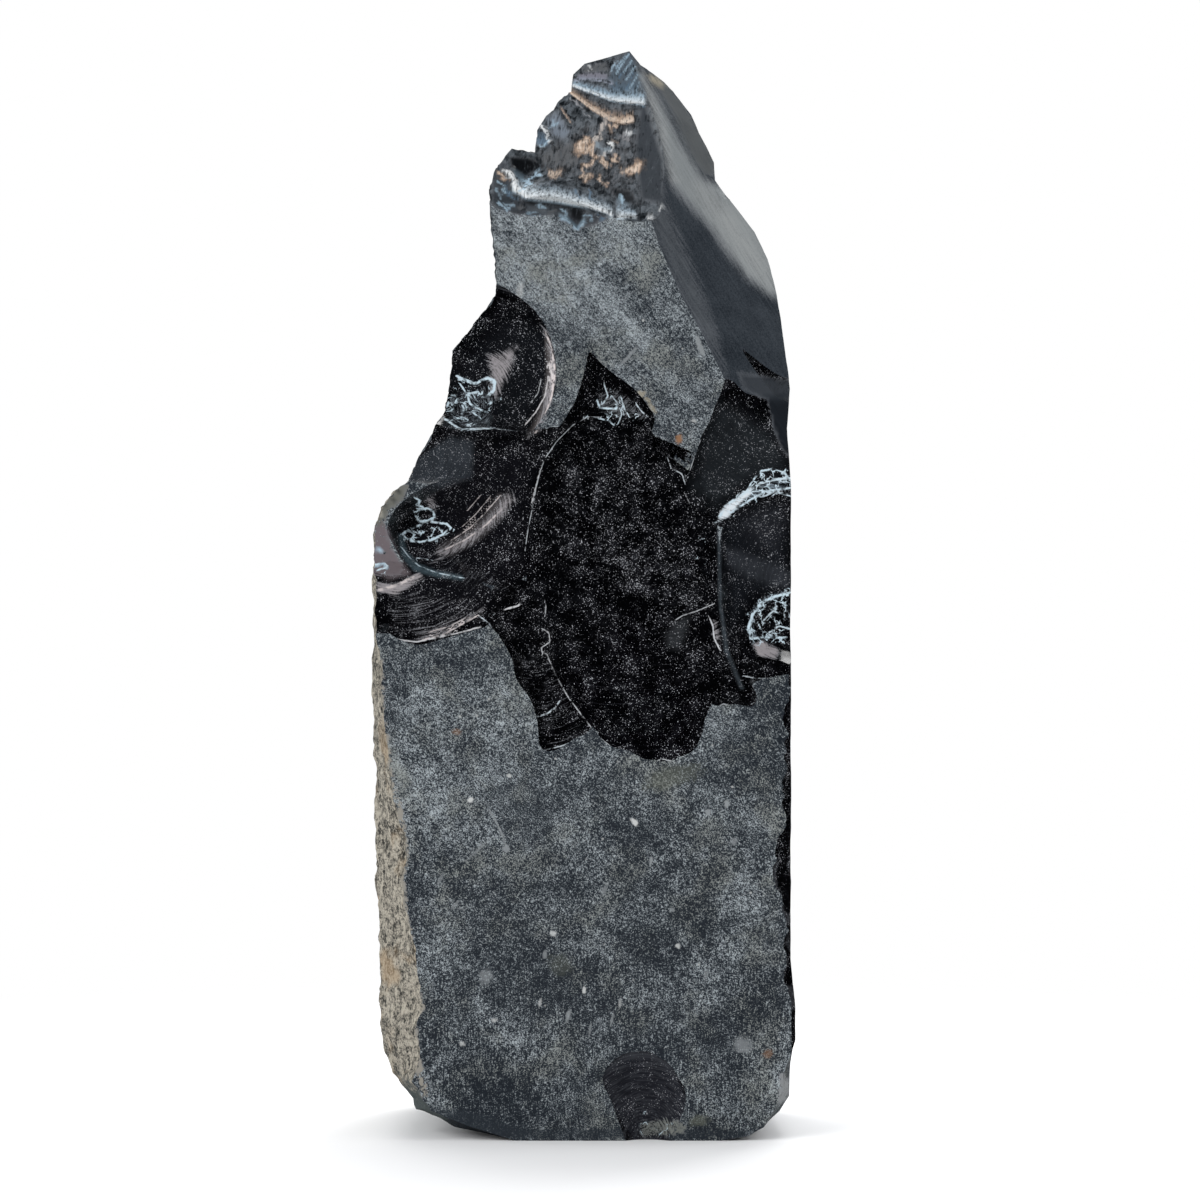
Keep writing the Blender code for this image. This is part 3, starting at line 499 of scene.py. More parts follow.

# Satin facet: dark blue-grey with a sweep of pale grey, softly brushed down its length; the pale
# sweep is a painted reflection. Its areas are outlines in the photograph's pixels, how softly they
# end, colour and strength.
PALE_GREY_REFLECTION = (0.25, 0.27, 0.275)
LIGHT_GREY_REFLECTION = (0.44, 0.45, 0.44)
FACET_AREAS = [
    ([(650, 225), (664, 200), (690, 260), (716, 330), (726, 378), (704, 336), (684, 300)],
     14.0, (0.050, 0.060, 0.068), 0.7),
    # Painted reflection: the pale grey sweeps beside the arris and down the facet
    ([(640, 66), (652, 86), (668, 112), (686, 148), (706, 178), (718, 182), (745, 200), (775, 250),
      (780, 300), (768, 296), (746, 278), (729, 256), (716, 237), (701, 219), (686, 202),
      (671, 185), (664, 160), (659, 132), (651, 108), (641, 84)], 14.0, PALE_GREY_REFLECTION, 1.0),
    ([(638, 70), (646, 84), (655, 104), (664, 132), (668, 160), (676, 180), (669, 180), (660, 140),
      (650, 108), (640, 84)], 12.0, LIGHT_GREY_REFLECTION, 0.7),
    ([(700, 190), (735, 215), (765, 262), (772, 292), (752, 272), (728, 240)],
     30.0, LIGHT_GREY_REFLECTION, 0.5),
    ([(766, 396), (794, 392), (794, 462), (782, 450), (774, 432)], 4.0, (0.010, 0.013, 0.018), 1.0),
    ([(738, 372), (794, 380), (794, 400), (764, 400), (744, 390)], 5.0, (0.026, 0.032, 0.040), 0.9),
    # More painted reflection, dimmer, down the arris
    ([(648, 72), (672, 78), (700, 110), (716, 150), (722, 176), (704, 176), (688, 150), (672, 112),
      (655, 84)], 6.0, (0.090, 0.098, 0.100), 0.95),
    ([(646, 74), (653, 74), (664, 84), (660, 88), (652, 84)], 4.0, TAN, 0.9),
]
start, place = begin(SATIN)
tint_and_painted_light = start.laid("tint_and_painted_light")
amount = start.laid("tint_and_painted_light", SHARE)
brushed = place.stretched(-32.0, (0.40, 2.0, 7.0)).grain(1.0, 3.0, 1.0)
fine = place.grain(0.32, 1.0, 2.0)
cloud = place.grain(9.0, 4.0, 3.0)
tone = (brushed - 0.5) * 0.6 + (fine - 0.5) * 1.2 + (cloud - 0.5) * 0.8 + 0.5
satin = tone.rise(0.0, 1.0).colours((0.013, 0.018, 0.025, 1.0), (0.049, 0.059, 0.071, 1.0))
streaks = (brushed - 0.5) * 0.9 + (fine - 0.5) * 0.5 + (cloud - 0.5) * 0.5
shown = amount + streaks * amount.rise(0.0, 0.3)
satin = shown.rise(0.0, 1.20).colours(satin, tint_and_painted_light)
finish_with(start, satin, 0.50 + (brushed - 0.5) * 0.12, brushed * 0.6 + fine * 0.4, 0.03,
            Specular_IOR_Level=0.2)

# The hackly break over the ledge, where the top snapped off: terraces that step down to the
# skin, each with a torn lower edge that is given a painted highlight, a pocket at the left and
# crumbs in the middle.
LEDGE_X = (-24.0, -20.0, -12.5, -6.8, -3.1, -1.6, -0.1, 3.6, 6.3, 10.7, 15.1, 24.0)
LEDGE_Z = (207.0, 205.2, 203.5, 203.8, 202.2, 200.4, 202.2, 203.5, 203.1, 202.2, 202.5, 202.5)
BREAK_HEIGHTS = (200.0, 206.0, 210.0, 214.0, 221.0, 232.0, 246.0)
BREAK_DEPTHS = (2.4, 2.6, 3.4, 5.2, 6.8, 9.6, 15.0)
TERRACES = [
    ((-2.75, 1.2, 4.7, 8.3, 12.9, 15.0), (231.9, 230.6, 229.5, 228.8, 228.4, 228.4), 1.5, 3.0, 0.5),
    ((-3.4, 0.1, 3.4, 6.7, 10.2), (231.0, 228.8, 226.6, 224.7, 224.0), 1.2, 1.6, 0.5),
    ((-2.75, 1.2), (229.5, 224.8), 0.5, 0.8, 0.4), ((-5.4, -3.2), (227.0, 224.4), 0.6, 0.9, 0.4),
    ((-12.9, -8.2, -4.1, -1.1, 2.6, 5.6, 11.5), (207.5, 208.2, 207.5, 206.5, 205.2, 204.2, 204.0),
     2.2, 2.2, 0.6),
]
RIDGES = [
    ([(-17.9, 213.3), (-16.0, 212.6), (-14.9, 209.6), (-12.9, 208.6)], 1.2, 0.8),
    ([(-10.2, 222.5), (-8.2, 222.4), (-7.2, 220.4), (-8.6, 219.0)], 1.0, 0.8),
]
POCKETS = [
    ((-12.0, 214.5), 3.2, 3.0), ((4.0, 211.5), 4.0, 1.2), ((7.0, 222.0), 3.0, 1.0),
    ((0.5, 222.5), 2.0, 1.0),
]


def distance_to_chain(x, z, chain):
    """Distance from each point to a chain of straight pieces."""
    nearest = np.full(len(x), 1000.0)
    for (ax, az), (bx, bz) in zip(chain[:-1], chain[1:]):
        run_x, run_z = bx - ax, bz - az
        along = ((x - ax) * run_x + (z - az) * run_z) / (run_x**2 + run_z**2)
        along = np.clip(along, 0.0, 1.0)
        nearest = np.minimum(nearest, np.hypot(x - ax - along * run_x, z - az - along * run_z))
    return nearest


# The camera stands this far in front of the front, level with this point of it
CAMERA_AWAY = 900.0
CAMERA_X = 3.41
CAMERA_Z = 119.0


def as_seen(x, z, behind):
    """Where points this far behind the front appear on it in the photograph."""
    shrink = CAMERA_AWAY / (CAMERA_AWAY + behind)
    return CAMERA_X + (x - CAMERA_X) * shrink, CAMERA_Z + (z - CAMERA_Z) * shrink


def break_lift(x, z):
    """The torn surface: its general fall, terraces, ridges, pockets and crumbs."""
    points = np.c_[x, z, z * 0]
    x, z = as_seen(x, z, np.interp(z, BREAK_HEIGHTS, BREAK_DEPTHS) - 1.5)
    inside = z - np.interp(x, LEDGE_X, LEDGE_Z) + 0.5 * lumps(points, 2.5, 3, seed=3)
    lift = -np.interp(z, BREAK_HEIGHTS, BREAK_DEPTHS) * (1.0 - np.exp(-np.maximum(inside, 0.0) / 0.9))
    for xs, zs, rise, over, under in TERRACES:
        above = z - np.interp(x, xs, zs)
        taper = np.clip((x - xs[0] + 1.0), 0.0, 1.0) * np.clip(xs[-1] + 1.0 - x, 0.0, 1.0)
        lift += rise * taper * np.where(above > 0, np.exp(-above / over), np.exp(-((above / under) ** 2)))
    for chain, rise, width in RIDGES:
        lift += rise * np.exp(-((distance_to_chain(x, z, chain) / width) ** 2))
    for (pocket_x, pocket_z), radius, hollow in POCKETS:
        away = np.hypot(x - pocket_x, z - pocket_z)
        lift -= hollow * np.exp(-((away / radius) ** 2))
    crumbly = np.exp(-(((x - 2.0) / 11.0) ** 2) - ((z - 214.0) / 7.0) ** 2)
    lift += (0.12 + 0.5 * crumbly) * lumps(points, 2.6, 4, seed=4)
    lift += 0.9 * crumbly * np.abs(lumps(points * (1.0, 0.7, 1.0), 1.5, 3, seed=23))
    lift += 0.12 * lumps(np.c_[x, z * 0.15, z * 0], 0.9, 2, seed=5)
    lift = np.minimum(lift, -0.3)
    return np.where(inside < 0.0, -2.5 * inside, lift)


cut_away("break_cutter", front, (-24.0, 22.0), (198.0, 246.0), 0.34, break_lift, HACKLE)

# Its colours, and its areas: outlines in the photograph's pixels, how softly they end, colour and
# strength. Pale blue, white, copper, bronze and peach are painted highlights and sheens here, and
# the black areas are painted shade in the pocket and along the ledge
PALE_BLUE = (0.42, 0.58, 0.70)
SLATE_BLUE = (0.10, 0.165, 0.235)
COPPER_SHEEN = (0.56, 0.40, 0.29)
BRONZE_SHEEN = (0.20, 0.14, 0.10)
PEACH_HIGHLIGHT = (0.84, 0.70, 0.58)
WHITE_HIGHLIGHT = (0.78, 0.80, 0.80)
BROWN = (0.115, 0.100, 0.090)
BLACK = (0.006, 0.007, 0.009)
STONE_GREY = (0.105, 0.110, 0.115)
TOP_AREAS = [
    ([(540, 140), (575, 125), (600, 118), (640, 122), (640, 190), (600, 190), (560, 178),
      (530, 160)], 16.0, BROWN, 0.35),
    ([(545, 150), (575, 140), (582, 165), (560, 170), (535, 166)], 14.0, STONE_GREY, 0.8),
    ([(640, 104), (646, 104), (664, 160), (664, 205), (640, 200), (634, 150)],
     8.0, (0.050, 0.058, 0.068), 1.0),
    # Painted shade in the pocket at the left
    ([(508, 156), (530, 158), (548, 166), (530, 174), (521, 184), (515, 176)], 5.0, BLACK, 1.0),
    # Painted shade under the ledge: the dark lip below its torn edge, in the next areas
    ([(494, 194), (514, 198), (560, 206), (612, 218), (592, 226), (577, 232), (558, 218),
      (520, 216), (494, 208)], 5.0, (0.020, 0.024, 0.030), 0.85),
    ([(524, 199), (575, 201), (590, 212), (575, 214), (560, 208), (530, 206)], 5.0, BLACK, 0.9),
    ([(609, 186), (632, 190), (640, 204), (622, 206), (614, 200)], 7.0, BLACK, 0.9),
    ([(570, 205), (584, 207), (582, 222), (572, 218)], 4.0, BLACK, 0.9),
    # Painted sheen on the striations at the tip and on a rib below it
    ([(580, 66), (606, 62), (609, 71), (600, 72), (584, 74)], 4.0, (0.10, 0.105, 0.11), 0.9),
    ([(577, 74), (600, 72), (609, 75), (608, 80), (576, 80)], 4.0, (0.20, 0.20, 0.24), 1.0),
    ([(612, 66), (629, 50), (636, 62), (642, 86), (636, 92), (612, 92), (606, 82)],
     5.0, (0.075, 0.105, 0.135), 0.9),
    ([(545, 118), (558, 110), (565, 122), (572, 132), (566, 140), (552, 138)],
     8.0, (0.19, 0.225, 0.27), 0.9),
    ([(496, 196), (514, 199), (510, 212), (496, 206)], 6.0, (0.07, 0.09, 0.11), 0.6),
    ([(492, 172), (504, 160), (512, 176), (520, 190), (512, 202), (492, 204)],
     5.0, (0.030, 0.037, 0.045), 0.85),
    ([(528, 205), (548, 208), (556, 214), (540, 217), (526, 212)], 6.0, (0.10, 0.115, 0.13), 0.6),
    ([(538, 128), (548, 136), (549, 146), (538, 146), (534, 140)], 4.0, SLATE_BLUE, 0.8),
]
# Painted highlights on the torn edges, fading up from each lip: the line, how far the painted
# shine reaches up from it at its two ends, colour and strength
BLUE_EDGE = [(573, 86), (583, 90), (600, 96), (610, 100), (625, 102), (644, 104)]
COPPER_EDGE = [(570, 93), (580, 100), (590, 108), (600, 114), (610, 120), (622, 123), (633, 121)]
LEDGE_EDGE = [(514, 190), (526, 197), (545, 199), (556, 200), (566, 202), (575, 204), (585, 206),
              (595, 209), (605, 212), (612, 216)]
EDGE_HIGHLIGHTS = [
    (BLUE_EDGE, 12.0, 24.0, SLATE_BLUE, 1.0), (BLUE_EDGE, 7.0, 17.0, PALE_BLUE, 1.0),
    (BLUE_EDGE, 3.0, 9.0, WHITE_HIGHLIGHT, 0.9),
    ([(574, 81), (583, 80), (600, 81), (612, 84)], 4.0, 5.0, (0.30, 0.33, 0.40), 0.9),
    (COPPER_EDGE, 11.0, 22.0, BRONZE_SHEEN, 1.0), (COPPER_EDGE, 7.0, 14.0, COPPER_SHEEN, 1.0),
    ([(572, 95), *COPPER_EDGE[1:]], 3.0, 7.0, PEACH_HIGHLIGHT, 1.0),
    ([(561, 109), (566, 117), (571, 124)], 6.0, 7.0, COPPER_SHEEN, 0.9),
    (LEDGE_EDGE, 24.0, 16.0, PALE_BLUE, 1.0), (LEDGE_EDGE, 14.0, 10.0, WHITE_HIGHLIGHT, 1.0),
    ([(617, 217), (636, 218)], 22.0, 12.0, PALE_BLUE, 1.0),
    ([(617, 217), (636, 218)], 10.0, 6.0, WHITE_HIGHLIGHT, 1.0),
    ([(647, 219), (653, 219)], 9.0, 9.0, WHITE_HIGHLIGHT, 0.8),
    ([(560, 217), (570, 223), (577, 230), (584, 222)], 5.0, 6.0, PALE_BLUE, 0.8),
]
# Lines and flecks on it and on the torn left edge, most of them painted highlights and copper
# sheen: points, half width in pixels, colour, strength
CRUMB_GREY = (0.30, 0.29, 0.25)
TOP_STROKES = [
    ([(384, 505), (393, 500)], 1.4, BLACK, 0.9), ([(397, 493), (403, 497)], 1.2, BLACK, 0.9),
    ([(378, 515), (384, 512)], 1.2, CRUMB_GREY, 0.9),
    ([(390, 494), (394, 491)], 1.2, CRUMB_GREY, 0.9),
    ([(376, 547), (381, 550)], 1.0, PALE_BLUE, 0.9),
    ([(375, 566), (384, 564), (388, 568)], 1.0, PALE_BLUE, 0.9),
    ([(507, 172), (512, 174), (514, 180), (516, 187), (521, 191)], 2.4, WHITE_HIGHLIGHT, 1.0),
    ([(521, 189), (527, 183), (534, 177), (540, 173)], 2.0, PALE_BLUE, 0.9),
    ([(500, 174), (506, 178)], 1.2, COPPER_SHEEN, 0.7),
    ([(572, 98), (581, 108), (590, 119)], 1.0, (0.32, 0.33, 0.35), 0.9),
    ([(541, 126), (546, 131), (549, 138), (549, 143)], 1.3, WHITE_HIGHLIGHT, 0.9),
    ([(538, 146), (544, 144), (549, 141)], 1.0, PALE_BLUE, 0.7),
    ([(557, 124), (549, 128), (552, 121)], 1.0, PALE_BLUE, 0.6),
    ([(605, 120), (603, 126), (598, 134), (595, 141), (592, 150)], 1.8, (0.55, 0.50, 0.46), 0.9),
    ([(600, 156), (606, 153), (612, 150), (610, 144), (606, 141)], 1.4, WHITE_HIGHLIGHT, 0.9),
    ([(598, 144), (602, 148), (606, 150)], 2.8, (0.24, 0.29, 0.33), 0.9),
    ([(579, 151), (583, 144), (587, 141)], 3.2, COPPER_SHEEN, 1.0),
    ([(582, 153), (588, 148)], 1.8, COPPER_SHEEN, 0.9),
    ([(591, 144), (592, 151), (594, 158)], 1.8, COPPER_SHEEN, 0.8),
    ([(603, 158), (607, 165)], 2.2, COPPER_SHEEN, 0.9),
    ([(584, 166), (593, 163), (596, 158)], 1.6, COPPER_SHEEN, 0.8),
    ([(630, 171), (638, 164)], 3.4, COPPER_SHEEN, 1.0), ([(616, 156), (617, 162)], 1.6, COPPER_SHEEN, 0.8),
    ([(552, 176), (560, 172)], 3.0, COPPER_SHEEN, 0.7), ([(584, 180), (589, 176)], 2.4, COPPER_SHEEN, 0.9),
    ([(600, 179), (606, 187)], 1.8, COPPER_SHEEN, 0.8), ([(608, 124), (611, 131)], 1.6, COPPER_SHEEN, 0.8),
    ([(614, 126), (618, 122)], 1.6, COPPER_SHEEN, 0.8), ([(582, 170), (583, 175)], 1.4, COPPER_SHEEN, 0.7),
    ([(620, 168), (623, 172)], 1.6, COPPER_SHEEN, 0.6), ([(627, 133), (630, 131)], 2.0, WHITE_HIGHLIGHT, 0.7),
    ([(622, 137), (628, 137)], 2.0, (0.25, 0.25, 0.26), 0.8),
    ([(664, 196), (663, 203), (659, 211)], 0.8, WHITE_HIGHLIGHT, 0.7),
    ([(506, 186), (509, 194), (516, 199)], 1.4, SLATE_BLUE, 0.8),
    ([(500, 205), (508, 209)], 1.4, PALE_BLUE, 0.7), ([(587, 66), (590, 69)], 1.0, WHITE_HIGHLIGHT, 0.7),
    ([(616, 62), (612, 68)], 1.2, PALE_BLUE, 0.7),
    ([(629, 54), (622, 64), (616, 74)], 0.6, PALE_BLUE, 0.7),
    ([(632, 60), (624, 72)], 0.6, PALE_BLUE, 0.7), ([(635, 66), (626, 80)], 0.6, PALE_BLUE, 0.6),
    ([(625, 56), (616, 68)], 0.6, PALE_BLUE, 0.6), ([(638, 74), (630, 88)], 0.6, PALE_BLUE, 0.6),
    ([(634, 72), (626, 90)], 0.5, SLATE_BLUE, 0.9), ([(622, 72), (616, 84)], 0.5, SLATE_BLUE, 0.9),
    ([(640, 82), (634, 94)], 0.5, PALE_BLUE, 0.4),
    ([(498, 180), (503, 184), (506, 192)], 1.0, PALE_BLUE, 0.7),
    ([(497, 190), (502, 197)], 0.9, PALE_BLUE, 0.5),
    ([(505, 203), (512, 207)], 1.0, PALE_BLUE, 0.5),
    ([(520, 206), (530, 211)], 1.0, STONE_GREY, 0.9),
    ([(536, 204), (546, 208)], 1.0, PALE_BLUE, 0.6),
    ([(548, 213), (556, 210)], 0.8, STONE_GREY, 0.9),
    ([(560, 208), (566, 215)], 1.0, PALE_BLUE, 0.6),
    ([(528, 214), (540, 216)], 0.9, PALE_BLUE, 0.5),
    ([(586, 214), (592, 219)], 1.0, PALE_BLUE, 0.6),
    ([(600, 214), (604, 219)], 1.0, SLATE_BLUE, 0.9), ([(612, 140), (618, 143)], 0.8, COPPER_SHEEN, 0.5),
    ([(588, 190), (592, 198), (596, 203)], 1.4, SLATE_BLUE, 0.9),
    ([(575, 188), (578, 200)], 1.2, SLATE_BLUE, 0.8),
    ([(620, 196), (622, 204)], 1.8, PALE_BLUE, 0.8),
]

# Hackly glass: dark, with painted highlights and sheens of pale blue, white and copper on the torn
# edges and crumbs, and painted shade in its pocket and under its ledge
start, place = begin(HACKLE)
tint_and_painted_light = start.laid("tint_and_painted_light")
amount = start.laid("tint_and_painted_light", SHARE)
combed = place.stretched(8.0, (0.42, 0.5, 3.4)).grain(1.0, 2.0, 1.0)
grit = place.grain(0.42, 2.0, 2.0, 0.65)
crumbs = place.grain(1.7, 3.0, 3.0, 0.65)
slanted = place.stretched(35.0, (0.9, 0.9, 1.6))
shards = slanted.node("ShaderNodeTexVoronoi", {"feature": "F1"}, {"Vector": slanted, "Scale": 1.0}, 1)
shards = shards.node("ShaderNodeSeparateColor", None, {0: shards}, 0)
tone = (combed - 0.5) * 0.5 + (grit - 0.5) * 0.5 + (crumbs - 0.5) * 1.6 + (shards - 0.5) * 0.5 + 0.38
glass = tone.rise(0.0, 1.0).colours((0.006, 0.009, 0.012, 1.0), (0.165, 0.188, 0.210, 1.0))
shown = amount + ((combed - 0.5) * 3.4 + (grit - 0.5) * 0.4 + (crumbs - 0.5) * 1.0) * amount
glass = shown.rise(0.05, 1.05).colours(glass, tint_and_painted_light)
finish_with(start, glass, 0.38 + (grit - 0.5) * 0.3, combed * 0.4 + grit * 0.3 + crumbs * 0.3, 0.16,
            Specular_IOR_Level=0.4)

# The fresh scars: black glass bowls where flakes were struck off the front. Each has its centre,
# rim, depth, how late its floor turns up, where it was struck, and its ripples' spacing and
# height. A rim lies on the front, on the facet, or on the floor of an older scar.
SCARS = {
    "centre_scar": ((9.0, 157.0), [
        (9.5, 163.5), (3.5, 160.0), (-2.0, 157.0), (-7.0, 151.5), (-10.0, 145.5), (-11.5, 139.0),
        (-13.0, 131.0), (-13.0, 123.0), (-12.0, 116.5), (-8.5, 109.0), (-7.0, 104.0), (-4.0, 98.0),
        (0.0, 92.0), (4.5, 87.0), (9.5, 84.5), (15.5, 83.0), (23.0, 84.0), (25.5, 87.0),
        (27.0, 92.0), (29.0, 96.0), (32.0, 99.0), (33.0, 106.0), (31.5, 119.0), (30.0, 131.0),
        (29.0, 140.0), (28.0, 147.0), (24.6, 151.3), (18.4, 150.8), (15.5, 155.0)],
        4.5, 2.2, (9.0, 157.0), 7.0, 0.02),
    "spike_scar": ((5.5, 158.0), [
        (1.0, 174.0), (3.5, 171.5), (6.5, 169.0), (10.5, 166.0), (13.5, 162.5), (15.5, 158.5),
        (12.0, 152.0), (3.5, 147.5), (-5.5, 148.0), (-8.5, 154.0), (-5.5, 157.5), (-3.0, 161.5),
        (-1.5, 165.0), (0.0, 170.0)],
        5.0, 1.4, (2.0, 172.0), 2.0, 0.02),
    "upper_left_scar": ((-26.0, 165.0), [
        (-19.5, 188.5), (-15.5, 186.5), (-11.0, 183.0), (-8.0, 178.5), (-6.5, 173.0),
        (-6.0, 168.0), (-7.0, 163.0), (-9.5, 158.5), (-12.0, 156.0), (-17.5, 156.5),
        (-22.5, 157.0), (-27.0, 156.0), (-32.0, 157.0), (-37.0, 159.0), (-38.0, 169.0),
        (-34.0, 180.0), (-26.0, 188.0)],
        7.5, 3.0, (-27.0, 163.0), 3.4, 0.035),
    "mid_left_scar": ((-33.0, 151.5), [
        (-40.0, 155.0), (-40.0, 147.0), (-35.0, 144.5), (-28.5, 145.0), (-20.0, 143.0),
        (-10.0, 141.0), (-7.5, 149.0), (-4.8, 153.5), (-4.2, 157.0), (-8.8, 157.0),
        (-12.0, 156.2), (-17.5, 156.5), (-22.5, 157.0), (-27.0, 156.5), (-33.0, 159.0)],
        4.5, 2.0, (-40.0, 152.0), 4.0, 0.02),
    "lower_left_scar": ((-36.0, 136.0), [
        (-43.5, 134.5), (-42.0, 131.0), (-39.5, 127.0), (-35.5, 125.0), (-31.0, 124.0),
        (-26.0, 124.0), (-18.5, 122.0), (-11.0, 126.0), (-10.5, 136.5), (-12.0, 144.0),
        (-20.0, 147.5), (-28.5, 146.5), (-34.0, 144.5), (-39.0, 141.5), (-42.0, 138.5)],
        6.5, 2.5, (-36.0, 136.5), 1.9, 0.025),
    "fluted_scar": ((-40.0, 119.0), [
        (-47.0, 127.0), (-52.0, 120.0), (-48.0, 112.5), (-43.0, 111.5), (-40.5, 110.0),
        (-36.5, 109.0), (-30.5, 110.5), (-25.0, 112.0), (-21.0, 113.5), (-19.5, 117.0),
        (-21.0, 122.0), (-29.5, 126.0), (-36.0, 127.0)],
        4.0, 2.2, (-41.0, 137.0), 2.4, 0.06),
    "column_scar": ((-11.0, 105.0), [
        (-23.0, 116.0), (-21.0, 113.5), (-18.5, 110.5), (-16.0, 106.0), (-15.0, 101.5),
        (-12.0, 97.0), (-10.5, 92.5), (-10.0, 87.0), (-8.5, 85.5), (-6.0, 86.0), (-3.0, 87.5),
        (1.5, 90.0), (2.0, 95.0), (-2.0, 100.0), (-5.5, 106.0), (-7.0, 114.0), (-10.0, 122.0),
        (-17.5, 124.0), (-21.5, 120.0)],
        4.2, 2.0, (-12.0, 112.0), 1.8, 0.03),
    "upper_right_scar": ((34.0, 150.0), [
        (31.0, 167.5), (30.0, 164.5), (28.5, 161.5), (27.5, 158.5), (25.5, 155.0),
        (24.5, 151.5), (23.5, 149.0), (22.5, 146.0), (25.0, 139.0), (29.5, 135.0),
        (36.0, 135.0), (46.0, 138.0), (50.0, 145.0), (47.0, 150.0), (45.0, 152.0),
        (42.5, 155.0), (41.5, 158.0), (41.0, 162.5), (38.0, 164.0), (36.0, 164.5),
        (34.5, 165.5), (33.0, 167.0)],
        4.5, 2.4, (44.0, 168.0), 1.7, 0.02),
    "right_scar": ((42.0, 128.0), [
        (30.5, 136.0), (29.5, 129.0), (30.0, 125.0), (29.5, 121.0), (29.5, 116.5),
        (30.0, 113.5), (31.5, 110.0), (33.5, 105.5), (36.0, 103.0), (39.5, 102.0),
        (45.0, 102.5), (51.0, 104.0), (52.0, 128.0), (51.0, 147.0), (45.5, 148.5),
        (41.5, 147.5), (39.0, 146.5), (36.0, 143.5), (32.0, 139.5)],
        8.0, 2.6, (48.0, 124.0), 4.2, 0.03),
    "crushed_scar": ((44.5, 113.5), [
        (36.0, 110.5), (36.0, 113.5), (36.5, 115.5), (38.5, 118.5), (41.0, 120.0),
        (43.5, 120.5), (47.0, 120.5), (51.0, 118.0), (51.0, 108.0), (46.5, 106.0),
        (43.0, 106.5), (40.0, 107.0), (38.0, 108.5)],
        5.0, 2.5, (45.0, 113.5), 1.5, 0.08),
    "step_scar": ((34.0, 101.0), [
        (28.0, 96.0), (33.0, 96.0), (37.0, 95.5), (38.0, 98.0), (37.0, 100.5), (39.0, 101.5),
        (42.5, 102.5), (39.5, 106.0), (33.0, 108.0), (27.5, 102.0)],
        2.6, 3.0, (42.0, 108.0), 1.6, 0.03),
    "chip_scar": ((43.0, 167.0), [
        (35.0, 174.5), (36.5, 171.5), (41.0, 165.5), (43.5, 163.5), (50.0, 162.0),
        (50.0, 167.5), (44.0, 168.5), (39.0, 171.5)],
        2.2, 2.0, (46.0, 165.0), 2.0, 0.01),
    "base_scar": ((13.5, 4.0), [
        (4.0, 14.0), (5.0, 16.5), (6.5, 18.5), (8.5, 19.5), (11.0, 20.0), (14.0, 20.0),
        (16.0, 19.0), (18.5, 17.5), (20.0, 15.5), (21.5, 13.0), (22.5, 10.0), (21.5, 5.5),
        (19.0, 1.0), (17.0, -4.0), (11.0, -4.0), (8.0, 3.0), (6.0, 8.5), (4.5, 11.5)],
        2.8, 2.0, (13.5, 1.5), 2.0, 0.03),
}


def rounded(points, steps):
    """A closed smooth curve through the points, with this many steps from each to the next."""
    curve = []
    count = len(points)
    for i in range(count):
        before, start, end, beyond = (np.array(points[(i + k) % count]) for k in (-1, 0, 1, 2))
        for step in range(steps):
            t = step / steps
            bend = 2 * before - 5 * start + 4 * end - beyond
            twist = 3 * start - before - 3 * end + beyond
            curve.append(0.5 * (2 * start + (end - before) * t + bend * t**2 + twist * t**3))
    return np.array(curve)


def scar_lift(u, v, scar, ground=None):
    """The bowl below its ground, with ripples round the point it was struck at."""
    centre, rim, depth, turn_up, strike, spacing, height = scar
    rim = rounded(rim, 6) - centre
    turn = np.arctan2(rim[:, 1], rim[:, 0])
    order = np.argsort(turn)
    reach = np.hypot(*rim.T)[order]
    toward = np.arctan2(v - centre[1], u - centre[0])
    edge = np.interp(toward, turn[order], reach, period=2.0 * np.pi)
    share = np.hypot(u - centre[0], v - centre[1]) / edge
    lift = -depth * (1.0 - share**turn_up)
    if ground is not None:
        lift -= ground(u, v)
    points = np.c_[u, v, u * 0]
    from_strike = np.hypot(u - strike[0], v - strike[1])
    wave = (from_strike + 0.8 * lumps(points, 14.0, 2, seed=7)) / spacing * 2.0 * np.pi
    ripple = height * (np.sin(wave) + 0.35 * np.sin(2.0 * wave + 1.0))
    lift += ripple * np.clip(from_strike / (2.0 * spacing), 0.0, 1.0)
    crumbled = 0.25 * np.clip(share - 0.9, 0.0, 0.2) * lumps(points, 1.5, 3, seed=9)
    return lift + 0.10 * lumps(points, 6.0, 3, seed=8) + crumbled


def facet_ground(x, z):
    """The satin facet, for the scars struck into it."""
    return np.maximum(facet_depth(x, z), 0.0)


def bowl_ground(x, z):
    """The floor of the right scar, for the crushed scar inside it."""
    return np.full(len(x), 4.0)


grounds = {"upper_right_scar": facet_ground, "chip_scar": facet_ground, "crushed_scar": bowl_ground}
for name, scar in SCARS.items():
    low, high = np.min(scar[1], axis=0) - 1.5, np.max(scar[1], axis=0) + 1.5
    ground = grounds.get(name)
    cut_away(name, front, (low[0], high[0]), (low[1], high[1]), 0.5,
             lambda u, v: scar_lift(u, v, scar, ground), GLASS, strike=scar[4])
